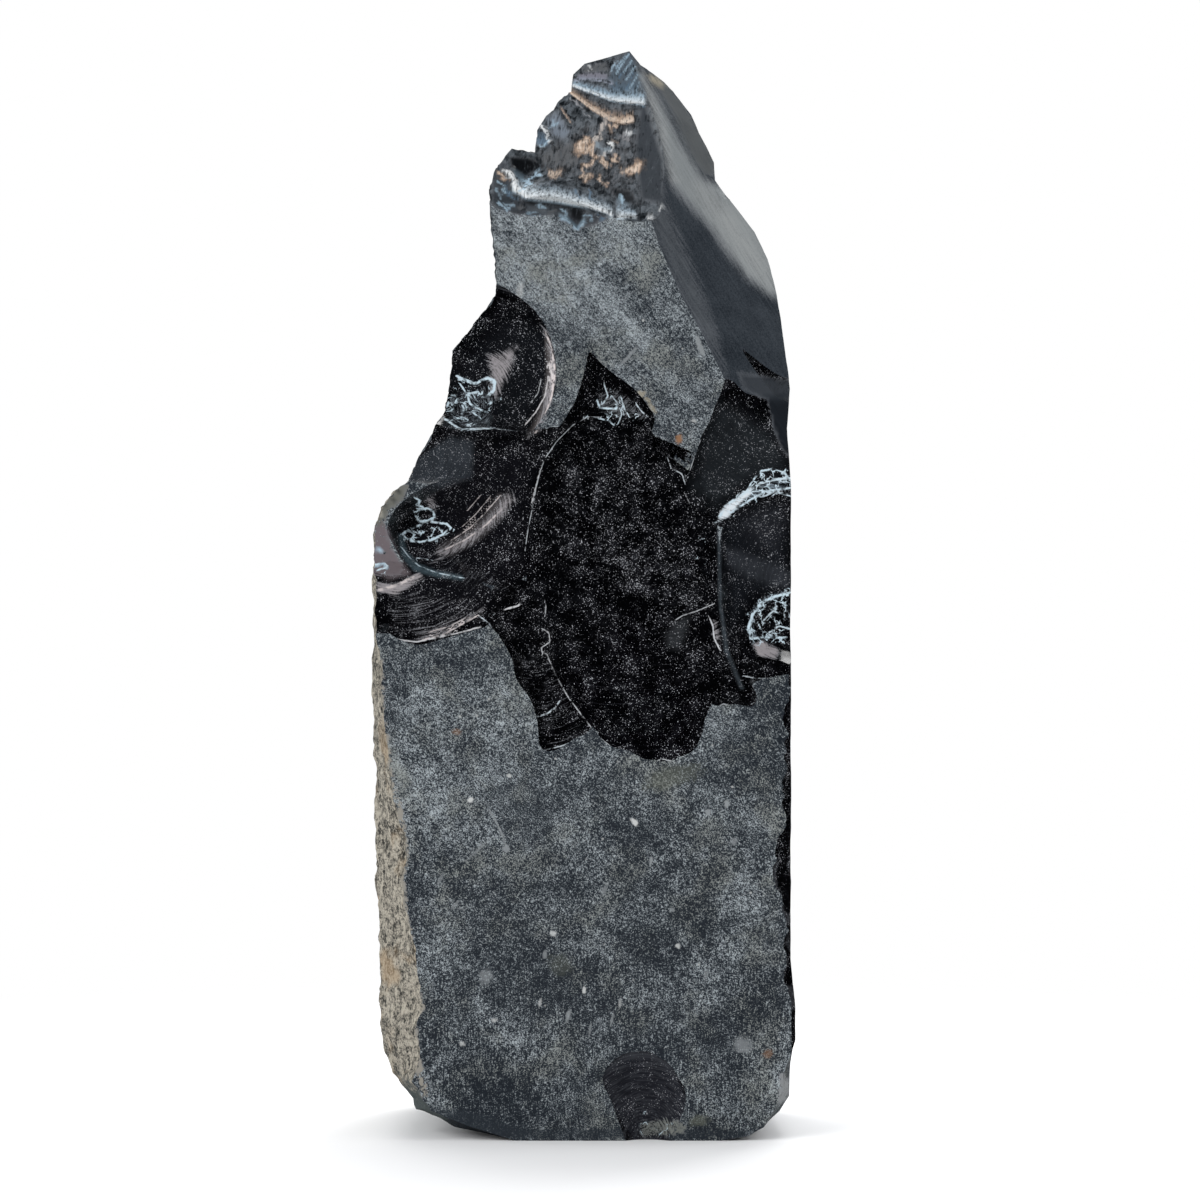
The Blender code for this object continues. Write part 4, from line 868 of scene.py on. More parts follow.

# Thin bright lines: blue-white threads of bruised glass, and warmer painted highlights along rims
# and ripples: their line, half width in pixels, and 0 for blue-white to 1 for pink
THREADS = [
    ([(458, 377), (475, 384), (487, 378), (495, 381), (494, 390), (488, 396)], 1.9, 0.0),
    ([(460, 384), (467, 394), (477, 392)], 1.2, 0.0),
    ([(467, 394), (470, 404), (479, 409), (486, 412)], 1.2, 0.0),
    ([(445, 419), (452, 424), (462, 430), (475, 429), (493, 428)], 1.4, 0.1),
    ([(447, 406), (452, 394), (459, 399), (464, 409), (460, 417), (467, 419)], 1.2, 0.0),
    ([(474, 396), (478, 403), (472, 412), (480, 418)], 1.0, 0.0),
    ([(546, 333), (552, 350), (555, 372), (552, 395), (545, 415), (536, 432)], 1.2, 1.0),
    ([(547, 366), (548, 380), (545, 396), (536, 412), (526, 424)], 0.9, 0.8),
    ([(541, 380), (538, 393), (530, 404)], 0.7, 0.6),
    ([(549, 364), (552, 376), (550, 388)], 1.8, 0.9),
    ([(415, 515), (419, 510), (427, 508), (433, 511), (435, 517), (427, 521), (419, 521),
      (415, 515)], 1.3, 0.0),
    ([(401, 535), (410, 529), (420, 525), (432, 522), (447, 524), (451, 528), (442, 535),
      (432, 540), (420, 542), (410, 541), (401, 535)], 1.4, 0.0),
    ([(404, 534), (410, 531), (415, 535), (410, 540), (404, 537)], 1.0, 0.0),
    ([(415, 498), (421, 501), (416, 505), (423, 507)], 1.2, 0.0),
    ([(417, 558), (435, 561)], 0.9, 0.2),
    ([(446, 549), (465, 540), (486, 525), (504, 507)], 1.0, 1.0),
    ([(452, 540), (470, 528), (486, 512), (500, 496)], 0.8, 1.0),
    ([(463, 526), (476, 514), (490, 497)], 0.7, 1.0), ([(468, 510), (480, 496)], 0.6, 1.0),
    ([(374, 546), (381, 549), (379, 552), (385, 553)], 1.2, 0.0),
    ([(374, 565), (384, 563), (388, 567), (378, 570)], 1.2, 0.0),
    ([(380, 590), (392, 587), (413, 578)], 2.0, 1.0),
    ([(422, 640), (442, 635), (459, 626), (477, 616)], 1.0, 1.0),
    ([(430, 632), (450, 626), (468, 617)], 0.8, 1.0),
    ([(387, 637), (400, 640), (417, 642), (435, 638), (459, 633), (484, 626)], 1.0, 0.7),
    ([(600, 417), (588, 417), (573, 425), (557, 441), (544, 460), (538, 480), (534, 499),
      (528, 530), (525, 550)], 0.6, 0.5),
    ([(540, 470), (536, 486), (531, 505)], 0.8, 0.7),
    ([(597, 400), (600, 408), (616, 409), (618, 404)], 1.3, 0.0),
    ([(586, 417), (597, 418), (609, 421), (615, 426)], 1.0, 0.0),
    ([(604, 384), (608, 396), (603, 404)], 0.9, 0.1),
    ([(621, 397), (624, 408), (629, 416)], 1.0, 0.1),
    ([(612, 396), (618, 404), (622, 414), (618, 424)], 0.8, 0.1),
    ([(636, 404), (642, 412), (647, 416)], 0.9, 0.2),
    ([(668, 459), (671, 468), (682, 474), (685, 483)], 0.8, 0.4),
    ([(700, 441), (697, 448), (688, 477)], 0.7, 0.5), ([(685, 494), (691, 506)], 0.7, 0.6),
    ([(671, 623), (682, 616), (697, 611), (714, 604)], 0.7, 0.6),
    ([(709, 617), (713, 626), (714, 638), (720, 650)], 0.9, 0.6),
    ([(543, 594), (546, 606), (545, 616)], 0.7, 0.6),
    ([(543, 629), (549, 633), (550, 642), (541, 648), (543, 655)], 0.8, 0.6),
    ([(547, 655), (556, 676), (568, 697), (583, 717), (597, 735)], 0.8, 0.6),
    ([(597, 736), (618, 752), (632, 761), (653, 763), (662, 759), (679, 763), (697, 759),
      (703, 738), (712, 714)], 0.8, 0.6),
    ([(712, 711), (723, 704), (744, 708), (756, 702), (757, 693), (753, 686), (764, 686),
      (776, 677)], 0.7, 0.5),
    ([(744, 676), (753, 678), (770, 679)], 0.8, 0.4),
    ([(717, 521), (726, 506), (738, 497), (750, 490)], 1.8, 0.1),
    ([(750, 490), (761, 483), (773, 480), (790, 478)], 1.6, 0.1),
    ([(748, 489), (753, 480), (761, 471), (773, 469), (785, 473), (789, 480)], 1.2, 0.0),
    ([(732, 512), (750, 500), (767, 491), (790, 488)], 1.3, 0.0),
    ([(762, 497), (775, 492), (790, 496)], 1.0, 0.1),
    ([(790, 593), (773, 597), (761, 603), (753, 614), (748, 629), (751, 639)], 1.8, 0.0),
    ([(751, 639), (764, 637), (790, 638)], 1.5, 0.0),
    ([(764, 620), (773, 611), (790, 617)], 1.1, 0.1),
    ([(770, 632), (779, 626), (790, 629)], 1.1, 0.1),
    ([(539, 716), (547, 714), (555, 708), (559, 702)], 1.1, 0.3),
    ([(506, 609), (518, 606), (527, 597)], 1.2, 0.7),
    ([(479, 616), (489, 623), (496, 638)], 0.9, 0.3),
    ([(542, 751), (562, 746), (577, 740), (597, 732)], 0.8, 0.4),
    ([(402, 548), (409, 557), (419, 566), (437, 573), (463, 578)], 0.8, 0.0),
    ([(374, 507), (384, 497), (396, 490), (408, 487)], 1.5, 0.4),
    ([(383, 518), (389, 507), (400, 499)], 1.1, 0.4),
]
# Painted sheens and highlights where light would catch the glass's ripples and rims, with the pale
# haloes of its bruised threads and a few tints of the stone: outline in pixels, how softly it ends,
# colour, strength
PINK_GREY_SHEEN = (0.36, 0.33, 0.34)
STEEL_BLUE = (0.15, 0.21, 0.25)
SHEENS = [
    ([(486, 355), (500, 352), (518, 345), (512, 368), (498, 398), (488, 392), (490, 376)],
     10.0, PINK_GREY_SHEEN, 0.75),
    ([(538, 320), (552, 336), (558, 372), (553, 408), (540, 434), (526, 440), (542, 410),
      (548, 375), (546, 345)], 6.0, PINK_GREY_SHEEN, 0.5),
    ([(447, 396), (488, 384), (496, 396), (492, 424), (470, 434), (446, 420)],
     8.0, STEEL_BLUE, 0.35),
    ([(436, 548), (456, 542), (478, 528), (496, 508), (508, 488), (516, 500), (500, 520),
      (478, 540), (452, 556), (434, 562)], 10.0, PINK_GREY_SHEEN, 0.70),
    ([(424, 500), (434, 494), (438, 508), (430, 512)], 6.0, PINK_GREY_SHEEN, 0.6),
    ([(374, 582), (396, 584), (418, 572), (424, 578), (396, 596), (376, 592)],
     5.0, PINK_GREY_SHEEN, 0.85),
    ([(408, 640), (440, 626), (484, 604), (486, 612), (450, 634), (410, 646)],
     8.0, PINK_GREY_SHEEN, 0.45),
    ([(752, 644), (762, 640), (780, 650), (776, 660), (758, 656)], 5.0, PINK_GREY_SHEEN, 0.9),
    ([(712, 616), (718, 622), (722, 650), (712, 636)], 4.0, PINK_GREY_SHEEN, 0.5),
    ([(715, 524), (730, 500), (750, 488), (790, 474), (790, 490), (760, 496), (734, 512),
      (722, 524)], 6.0, PALE_BLUE, 0.42),
    ([(786, 590), (768, 594), (752, 606), (745, 628), (750, 642), (758, 640), (754, 624),
      (764, 606), (790, 598)], 5.0, PALE_BLUE, 0.38),
    ([(598, 395), (616, 388), (640, 410), (646, 418), (620, 418), (600, 412)],
     10.0, (0.08, 0.09, 0.10), 0.5),
    ([(716, 524), (722, 508), (738, 496), (752, 486), (752, 494), (738, 506), (728, 518)],
     4.0, (0.80, 0.86, 0.90), 0.9),
    ([(385, 596), (420, 592), (480, 600), (484, 618), (440, 636), (392, 640)],
     10.0, (0.22, 0.21, 0.22), 0.29),
    ([(412, 545), (470, 556), (520, 590), (480, 600), (430, 576)], 12.0, (0.14, 0.14, 0.15), 0.20),
    ([(510, 655), (545, 640), (580, 710), (597, 732), (560, 750), (540, 745), (530, 690)],
     10.0, (0.13, 0.13, 0.14), 0.18),
    ([(640, 1122), (666, 1118), (690, 1122), (684, 1136), (640, 1138)], 6.0, OLIVE, 0.6),
    ([(370, 524), (384, 520), (388, 532), (392, 548), (404, 566), (400, 576), (370, 576)],
     4.0, (0.15, 0.125, 0.135), 1.0),
    ([(374, 500), (392, 486), (410, 484), (404, 500), (390, 512), (384, 522), (370, 528)],
     4.0, (0.13, 0.13, 0.105), 0.85),
    ([(780, 1070), (793, 1078), (789, 1100), (777, 1108)], 4.0, (0.26, 0.27, 0.27), 0.8),
]
# Smooth tints under the dust of the glass, some of them painted sheens, highlights and reflections
# on its rims and ripples: outline, how softly it ends, colour, strength
WASHES = [
    ([(500, 310), (560, 330), (555, 400), (520, 436), (460, 434), (440, 380)],
     30.0, (0.006, 0.007, 0.009), 1.0),
    ([(440, 440), (540, 440), (530, 560), (480, 620), (400, 640), (380, 580)],
     40.0, (0.005, 0.005, 0.007), 1.0),
    # Painted sheen on the ripples
    ([(440, 548), (462, 536), (484, 520), (500, 496), (510, 500), (498, 520), (476, 540),
      (450, 554)], 9.0, (0.120, 0.108, 0.110), 0.75),
    # Painted highlight along the rim
    ([(546, 338), (556, 365), (552, 400), (538, 430), (528, 436), (543, 404), (548, 372)],
     5.0, (0.20, 0.18, 0.18), 0.8),
    ([(716, 400), (740, 408), (776, 430), (790, 455), (790, 472), (750, 484), (716, 512),
      (690, 490), (700, 440)], 22.0, (0.020, 0.024, 0.028), 0.9),
    ([(722, 520), (790, 496), (790, 590), (752, 600), (728, 640)], 20.0, (0.011, 0.013, 0.017),
     0.9),
    # Painted reflection across the bowl
    ([(724, 545), (740, 552), (774, 564), (792, 572), (790, 590), (750, 578), (726, 566)],
     8.0, (0.036, 0.040, 0.048), 0.95),
    ([(740, 512), (770, 500), (786, 520), (776, 552), (748, 540)], 14.0, (0.022, 0.024, 0.030),
     0.7),
    # Painted highlight along its left rim
    ([(717, 530), (721, 530), (722, 600), (729, 650), (745, 690), (740, 690), (724, 652),
      (718, 600)], 3.0, (0.055, 0.068, 0.080), 0.9),
    ([(412, 460), (450, 436), (474, 440), (472, 478), (440, 488), (404, 492)],
     6.0, (0.034, 0.040, 0.048), 1.0),
    # Painted pink sheen
    ([(374, 540), (386, 522), (400, 560), (410, 574), (388, 580), (374, 572)],
     5.0, (0.15, 0.125, 0.135), 1.0),
    # Thin painted highlight along an arc
    ([(398, 534), (402, 534), (407, 551), (418, 564), (437, 571), (463, 576), (463, 580),
      (437, 577), (414, 571), (401, 556)], 3.0, (0.055, 0.082, 0.098), 1.0),
    ([(674, 622), (690, 614), (688, 632), (680, 652), (666, 648), (664, 634)],
     10.0, (0.032, 0.035, 0.039), 0.9),
    ([(600, 1076), (611, 1062), (633, 1050), (656, 1053), (673, 1066), (688, 1100), (686, 1142),
      (634, 1142), (616, 1116)], 5.0, (0.017, 0.018, 0.024), 1.0),
    ([(602, 1076), (611, 1062), (633, 1050), (656, 1053), (673, 1066), (670, 1072), (650, 1058),
      (622, 1060)], 5.0, (0.045, 0.049, 0.058), 0.8),
]
# Where the glass is bruised to a tangle of white cracks: outline, how softly it ends, strength
BRUISES = [
    ([(446, 388), (470, 378), (496, 382), (500, 398), (488, 420), (470, 432), (444, 424)],
     8.0, 0.6),
    ([(597, 388), (612, 384), (626, 398), (650, 412), (648, 424), (618, 422), (598, 420)],
     8.0, 0.5),
    ([(715, 524), (730, 500), (750, 484), (764, 468), (790, 468), (790, 494), (762, 500),
      (734, 514)], 6.0, 1.0),
    ([(398, 540), (410, 526), (450, 520), (456, 530), (436, 546), (408, 546)], 6.0, 0.6),
    ([(410, 496), (424, 496), (430, 520), (416, 522)], 6.0, 0.7),
    ([(790, 588), (766, 594), (748, 610), (744, 640), (760, 648), (790, 644)], 6.0, 0.75),
    ([(372, 540), (388, 542), (390, 576), (374, 578)], 5.0, 0.35),
    ([(540, 640), (552, 640), (552, 664), (542, 664)], 6.0, 0.5),
    ([(694, 744), (722, 706), (732, 708), (706, 752), (690, 762)], 8.0, 0.6),
    ([(476, 608), (500, 610), (502, 640), (486, 636)], 6.0, 0.4),
    ([(636, 1110), (660, 1112), (686, 1118), (684, 1138), (636, 1138)], 5.0, 0.5),
    ([(690, 540), (716, 530), (716, 600), (694, 590)], 10.0, 0.25),
    ([(374, 500), (392, 486), (408, 485), (402, 500), (388, 512), (382, 522), (372, 524)],
     4.0, 0.6),
]
# How thick the dust lies: outline, how softly it ends and share
DUST = [
    ([(360, 280), (560, 300), (800, 380), (800, 860), (360, 860)], 10.0, 0.35),
    ([(560, 440), (650, 430), (700, 520), (716, 620), (660, 640), (590, 600), (540, 520)],
     60.0, 1.0),
    ([(600, 640), (700, 660), (700, 740), (620, 740)], 60.0, 0.55),
    ([(460, 440), (560, 430), (540, 640), (470, 600)], 50.0, 0.65),
    ([(380, 580), (480, 590), (480, 630), (390, 640)], 20.0, 0.8),
    ([(690, 440), (790, 440), (790, 500), (700, 510)], 20.0, 0.35),
    ([(500, 310), (560, 330), (560, 430), (500, 440)], 30.0, 0.6),
]

# Fresh glass: jet black, dusted with pale specks, with fine arcs round each blow and fine rays out
# from it, painted soft sheens and highlights, and bruised white threads and tangles; the arcs are
# painted lighter as a sheen on the ripples
start, place = begin(GLASS)
tint_and_painted_light = start.laid("tint_and_painted_light")
amount = start.laid("tint_and_painted_light", SHARE)
thread = start.laid("thread")
warmth = start.laid("thread", SHARE)
beside, away, width = (start.node("ShaderNodeSeparateColor", None, {0: thread}, i) for i in range(3))
blow = start.laid("blow", VECTOR)
dust = start.laid("dust", NUMBER)
bruise = start.laid("bruise", NUMBER)
toward = start.node("ShaderNodeVectorMath", {"operation": "NORMALIZE"}, {0: blow})
reach = start.node("ShaderNodeVectorMath", {"operation": "LENGTH"}, {0: blow}, 1)
ring = start.node("ShaderNodeCombineXYZ", None, {2: reach / 0.32 + place.grain(6.0, 2.0, 8.0) * 4.0})
ring = start.node("ShaderNodeVectorMath", {"operation": "MULTIPLY_ADD"},
                  {0: toward, 1: (3.5, 3.5, 3.5), 2: ring})
arcs = ring.grain(1.0, 2.0, 7.0)
rays = toward.grain(0.05, 2.0, 3.0)
specks = place.grain(0.23, 1.0, 1.0, 0.6)
clusters = place.grain(3.6, 4.0, 2.0, 0.68)
level = specks + (clusters - 0.5) * 0.38 + (arcs - 0.5) * 0.12 + dust * 0.037
speck = level.rise(0.652, 0.755)
# Clouds of dust haze, with a painted sheen along the ripple arcs
dust_haze_and_sheen = (clusters.rise(0.42, 0.75) * (0.25 + dust * 0.75)) + arcs.rise(0.60, 0.78) * 0.5
glass = dust_haze_and_sheen.colours((0.0004, 0.0004, 0.0008, 1.0), (0.016, 0.017, 0.021, 1.0))
wash = start.laid("wash")
washed = start.laid("wash", SHARE)
glass = (washed * (0.85 + (clusters - 0.5) * 0.8 + (arcs - 0.5) * 1.2)).colours(glass, wash)
# Where the dust is thin the ripple arcs are painted lighter still: a painted sheen in place of light on
# the ripples
bare = dust.rise(0.2, 0.05)
glass = (bare * arcs.rise(0.40, 0.75) * 0.8).colours(glass, (0.050, 0.053, 0.060, 1.0))
glass = speck.colours(glass, (0.44, 0.45, 0.48, 1.0))
stroked = (arcs - 0.5) * 2.5 + (rays - 0.5) * 0.5 + (specks - 0.5) * 1.0
shown = (amount * 1.35 + stroked * amount.rise(0.0, 0.25) - 0.30).rise(0.0, 0.95)
glass = shown.colours(glass, tint_and_painted_light)
apart = abs(beside).most(away - 0.30)
torn = apart + (place.grain(0.7, 2.0, 5.0, 0.7) - 0.5) * width * 1.5
line = (torn / width).rise(1.05, 0.40) * place.grain(1.3, 2.0, 6.0).rise(0.36, 0.56)
line = line * (0.5 + width.rise(0.10, 0.28) * 0.5)
wander = start.node("ShaderNodeTexNoise", None, {"Vector": place, "Scale": 0.8, "Detail": 3.0}, 1)
wander = start.node("ShaderNodeVectorMath", {"operation": "MULTIPLY_ADD"},
                    {0: wander, 1: (2.4, 2.4, 2.4), 2: place})
cracks = start.node("ShaderNodeTexVoronoi", {"feature": "DISTANCE_TO_EDGE"},
                    {"Vector": wander, "Scale": 0.45})
cracks = cracks.rise(0.075, 0.015)
cracks = cracks * (bruise + (place.grain(1.8, 2.0, 9.0) - 0.5) * 3.0).rise(0.55, 0.95)
line = line.most(cracks * bruise.rise(0.0, 0.2))
# Bruised threads blue-white, painted highlights on rims and ripples pinker
white = warmth.colours((0.62, 0.76, 0.84, 1.0), (0.62, 0.56, 0.55, 1.0))
glass = line.colours(glass, white)
rough = 0.17 + speck * 0.25 + shown * 0.25 + line * 0.35
finish_with(start, glass, rough, specks * 0.3 + arcs * 0.4 + rays * 0.3, 0.03, Specular_IOR_Level=0.4)

# The right edge of the front: a ragged bevel of small dark chips, with one long bite in it.
EDGE_BITES = [(94.0, 4.0, 1.6), (85.5, 3.0, 1.2), (77.0, 5.0, 1.5), (60.0, 8.0, 3.4),
              (49.0, 4.0, 1.2), (40.0, 5.0, 1.4), (104.0, 4.0, 1.0), (33.0, 3.0, 1.0)]


def bevel_lift(x, z):
    """Flat above the front until the ragged line, then down steeply past the edge."""
    reach = 0.2 + 1.2 * lumps(np.c_[z, z * 0, z * 0], 3.5, 5, seed=15)
    for height, half, bite in EDGE_BITES:
        reach += bite * np.exp(-(((z - height) / half) ** 4))
    reach = np.maximum(reach, 0.0) * np.clip((z - 26.0) / 8.0, 0.0, 1.0)
    past = x - (45.4 - reach)
    rough = 0.35 * lumps(np.c_[x, z, x * 0], 1.6, 3, seed=16)
    return np.where(past > 0.0, -1.5 * past + rough * np.clip(past, 0.0, 1.0), -4.0 * past)


cut_away("edge_cutter", front, (39.0, 50.0), (14.0, 112.0), 0.5, bevel_lift, GLASS)

# The back and the sides: large old breaks of bare glass that give the block its wedge shape, with
# shallow flakes struck off their edges. The left one is still rind.
slope = face_axes((8.0, 10.5, 195.0), (-0.04, 0.90, 0.43))
left = face_axes((-39.0, 24.0, 90.0), (-0.72, 0.68, 0.12))
right = face_axes((40.0, 27.0, 60.0), (0.66, 0.75, -0.05))
back = face_axes((0.0, BACK, 0.0), (0.0, 1.0, 0.0))
flank = face_axes((45.0, 0.0, 100.0), (1.0, 0.0, 0.0))
# Old breaks: their axes, half size, hollow and finish
BIG_BREAKS = [
    ("upper_back", slope, 110.0, 5.0, GLASS), ("left_back", left, 130.0, 4.0, RIND),
    ("right_back", right, 110.0, 3.0, GLASS),
]
for number, (name, axes, size, hollow, finish) in enumerate(BIG_BREAKS):

    def dished(u, v):
        """A shallow dish with long ripples round the blow, at its upper edge."""
        fall = hollow * ((u / size) ** 2 + 0.6 * (v / size) ** 2 - 0.5)
        points = np.c_[u, v, u * 0]
        wave = np.sin((np.hypot(u, v - 0.6 * size) + 2.0 * lumps(points, 40.0, 2, seed=11)) / 1.6)
        return fall + 0.04 * wave + 0.40 * lumps(points, 34.0, 3, seed=12 + number)

    cut_away(name, axes, (-size, size), (-size, size), 1.7, dished, finish, lid=60.0,
             strike=(0.0, 0.6 * size))

# Flakes off their edges: axes, place of the blow, width and length, turn, depth and how late the
# floor turns up
SHELL_FLAKES = [
    ("slope_scar", slope, (31.0, -18.0), (50.0, 56.0), 1.35, 5.5, 2.0),
    ("heel_scar", back, (-6.0, 2.0), (44.0, 50.0), 0.15, 5.0, 2.2),
    ("loin_scar", back, (-38.0, 82.0), (48.0, 56.0), -1.4, 5.0, 2.0),
    ("flank_scar", flank, (29.0, 18.0), (40.0, 46.0), 1.3, 4.5, 2.0),
]
for name, axes, blow_at, (width, length), turn, depth, turn_up in SHELL_FLAKES:
    rim = []
    for angle in np.linspace(0.0, 2.0 * np.pi, 22, endpoint=False):
        around_rim = Vector((np.cos(angle), np.sin(angle), depth)) * 1.7
        jagged = 1.0 + 0.22 * noise.fractal(around_rim, 1.0, 2.0, 3)
        u = jagged * width / 2 * np.sin(angle) * (1.0 - 0.25 * np.cos(angle))
        v = length * (0.35 - 0.5 * jagged * np.cos(angle))
        rim.append((blow_at[0] + u * np.cos(turn) - v * np.sin(turn),
                    blow_at[1] + u * np.sin(turn) + v * np.cos(turn)))
    flake = (blow_at, rim, depth, turn_up, blow_at, 3.5, 0.06)
    low, high = np.min(rim, axis=0) - 2.0, np.max(rim, axis=0) + 2.0
    cut_away(name, axes, (low[0], high[0]), (low[1], high[1]), 0.9,
             lambda u, v: scar_lift(u, v, flake), GLASS, strike=blow_at)

# The chunk itself: every cut is taken out of the rough block, and what is left is one closed body
# of glass, turned into metres. Thin slips that a cut leaves are taken off.
TOO_SHORT = 0.00002
for cutter in cutters:
    cut = block.modifiers.new(cutter.name, "BOOLEAN")
    cut.operation = "DIFFERENCE"
    cut.solver = "MANIFOLD"
    cut.material_mode = "INDEX"
    cut.object = cutter
evaluated = block.evaluated_get(bpy.context.evaluated_depsgraph_get())
mesh = bpy.data.meshes.new_from_object(evaluated)
for scrap in [block, *cutters]:
    bpy.data.objects.remove(scrap, do_unlink=True)
shape = bmesh.new()
shape.from_mesh(mesh)
bmesh.ops.scale(shape, vec=(0.001, 0.001, 0.001), verts=shape.verts)
bmesh.ops.dissolve_degenerate(shape, edges=shape.edges, dist=TOO_SHORT)
bmesh.ops.triangulate(shape, faces=shape.faces)
# Where two cuts graze each other they leave fins, two faces back to back
fins = set()
for edge in shape.edges:
    if len(edge.link_faces) > 2:
        outlines = [frozenset(face.verts) for face in edge.link_faces]
        fins.update(face for face in edge.link_faces if outlines.count(frozenset(face.verts)) > 1)
bmesh.ops.delete(shape, geom=list(fins), context="FACES")
loose = [edge for edge in shape.edges if not edge.link_faces]
bmesh.ops.delete(shape, geom=loose, context="EDGES")
if shape.calc_volume(signed=True) < 0.0:
    bmesh.ops.reverse_faces(shape, faces=shape.faces)
# Crumbs that came loose are left out: only the largest part is kept
unseen = set(shape.verts)
parts = []
while unseen:
    part = [unseen.pop()]
    for corner in part:
        for edge in corner.link_edges:
            reached = edge.other_vert(corner)
            if reached in unseen:
                unseen.remove(reached)
                part.append(reached)
    parts.append(part)
parts.sort(key=len)
bmesh.ops.delete(shape, geom=[corner for part in parts[:-1] for corner in part], context="VERTS")
shape.normal_update()
facing = np.array([corner.normal.y for corner in shape.verts])
shape.to_mesh(mesh)
shape.free()
mesh.name = "chunk"

# Its tints and painted light (sheens, highlights, reflections, shade), washes, threads and dust
# are laid on its corners, only where it shows from the front
PAINTED_DEPTH = 14.0
MOST_TURNED = -0.15
count = len(mesh.vertices)
places = np.empty(count * 3)
mesh.vertices.foreach_get("co", places)
x, y, z = places.reshape(-1, 3).T * 1000.0
ahead = (y < PAINTED_DEPTH) & (facing < MOST_TURNED)
x, z = as_seen(x, z, y - FRONT)


def area(outline, soft):
    """1 inside an outline read off the photograph, falling softly to 0 across it."""
    outline = on_front(outline)
    closed = outline + outline[:1]
    inside = np.zeros(count, bool)
    for (ax, az), (bx, bz) in zip(closed[:-1], closed[1:]):
        if az != bz:
            inside ^= ((az > z) != (bz > z)) & (x < ax + (z - az) * (bx - ax) / (bz - az))
    within = distance_to_chain(x, z, closed) * np.where(inside, 1.0, -1.0)
    return np.clip(0.5 + within / (soft * PIXEL), 0.0, 1.0)


def lay(coat, share, colour):
    """Lays a colour over this coat where the surface is ahead."""
    share = share * ahead
    coat[:, :3] += (np.array(colour) - coat[:, :3]) * share[:, None]
    coat[:, 3] = np.maximum(coat[:, 3], share)


# The line where the rind begins on the skin, in the photograph's pixels
RIND_EDGE = [(379, 660), (381, 720), (388, 754), (390, 783), (398, 805), (406, 853), (401, 879),
             (404, 910), (412, 955), (414, 987), (422, 1006), (412, 1019), (415, 1048), (419, 1070),
             (425, 1095)]
tint_and_painted_light = np.tile((0.2, 0.21, 0.23, 0.0), (count, 1))
# Own tints, with painted reflections on the facet, painted highlights and shade on the break and painted
# sheens on the glass
for outline, soft, colour, strength in FACET_AREAS + TOP_AREAS + SHEENS:
    lay(tint_and_painted_light, area(outline, soft) * strength, colour)
wash = np.zeros((count, 4))
for outline, soft, colour, strength in WASHES:
    lay(wash, area(outline, soft) * strength, colour)
from_rind = distance_to_chain(x, z, on_front(RIND_EDGE))
lay(tint_and_painted_light, np.clip(1.3 - from_rind / 1.5, 0.0, 1.0) * 0.60, TAN)
for chain, low_band, high_band, colour, strength in EDGE_HIGHLIGHTS:
    xs, zs = np.array(on_front(chain)).T
    along = np.clip((x - xs[0]) / (xs[-1] - xs[0]), 0.0, 1.0)
    above = (z - np.interp(x, xs, zs)) / ((low_band + (high_band - low_band) * along) * PIXEL)
    ends = np.clip((x - xs[0]) / 0.5 + 1.0, 0.0, 1.0) * np.clip((xs[-1] - x) / 0.5 + 1.0, 0.0, 1.0)
    share = np.where(above > 0, 1.0 - above, 1.0 + above * 5.0) * ends * strength
    lay(tint_and_painted_light, np.clip(share, 0.0, 1.0), colour)
torn_x = x + 0.9 * lumps(np.c_[x, z, y], 1.5, 4, seed=31)
torn_z = z + 0.9 * lumps(np.c_[x, z, y], 1.5, 4, seed=32)
for chain, half_width, colour, strength in TOP_STROKES:
    seen = (torn_x, torn_z) if half_width > 0.8 else (x, z)
    away = distance_to_chain(*seen, on_front(chain)) / (half_width * PIXEL)
    # A copper fleck is painted sheen: a bronze rim, copper, and a peach highlight in its middle
    if colour == COPPER_SHEEN:
        lay(tint_and_painted_light, np.clip(2.5 - away, 0.0, 1.0) * strength * 0.7, BRONZE_SHEEN)
    lay(tint_and_painted_light, np.clip(1.7 - away, 0.0, 1.0) * strength, colour)
    if colour == COPPER_SHEEN:
        lay(tint_and_painted_light, np.clip(1.0 - away, 0.0, 1.0) * strength * 0.9, PEACH_HIGHLIGHT)
threads = np.tile((9.0, 9.0, 0.3, 0.0), (count, 1))
for chain, half_width, warmth in THREADS:
    chain = on_front(chain)
    for (ax, az), (bx, bz) in zip(chain[:-1], chain[1:]):
        run = np.hypot(bx - ax, bz - az)
        along = ((x - ax) * (bx - ax) + (z - az) * (bz - az)) / run
        across = ((z - az) * (bx - ax) - (x - ax) * (bz - az)) / run
        beyond = np.maximum(np.maximum(-along, along - run), 0.0)
        away = np.hypot(across, beyond)
        nearer = (away < threads[:, 1]) & ahead
        beside = np.where(beyond > 0.0, np.copysign(away, across), across)
        same = np.ones(count)
        laid = np.c_[beside, away, same * half_width * PIXEL, same * warmth]
        threads[nearer] = laid[nearer]
tinge = np.zeros(count)
for pixel, half_width, half_height, turn, share in SKIN_PATCHES:
    middle_x, middle_z = on_front([pixel])[0]
    angle = np.radians(turn)
    turned_x = (x - middle_x) * np.cos(angle) - (z - middle_z) * np.sin(angle)
    turned_z = (x - middle_x) * np.sin(angle) + (z - middle_z) * np.cos(angle)
    away = np.hypot(turned_x / half_width, turned_z / half_height) / PIXEL
    tinge += np.clip((1.5 - away) / 1.2, 0.0, 1.0) * share * ahead
dust = np.zeros(count)
for outline, soft, share in DUST:
    dust = np.maximum(dust, area(outline, soft) * share * ahead)
bruise = np.zeros(count)
for outline, soft, share in BRUISES:
    bruise = np.maximum(bruise, area(outline, soft) * share * ahead)
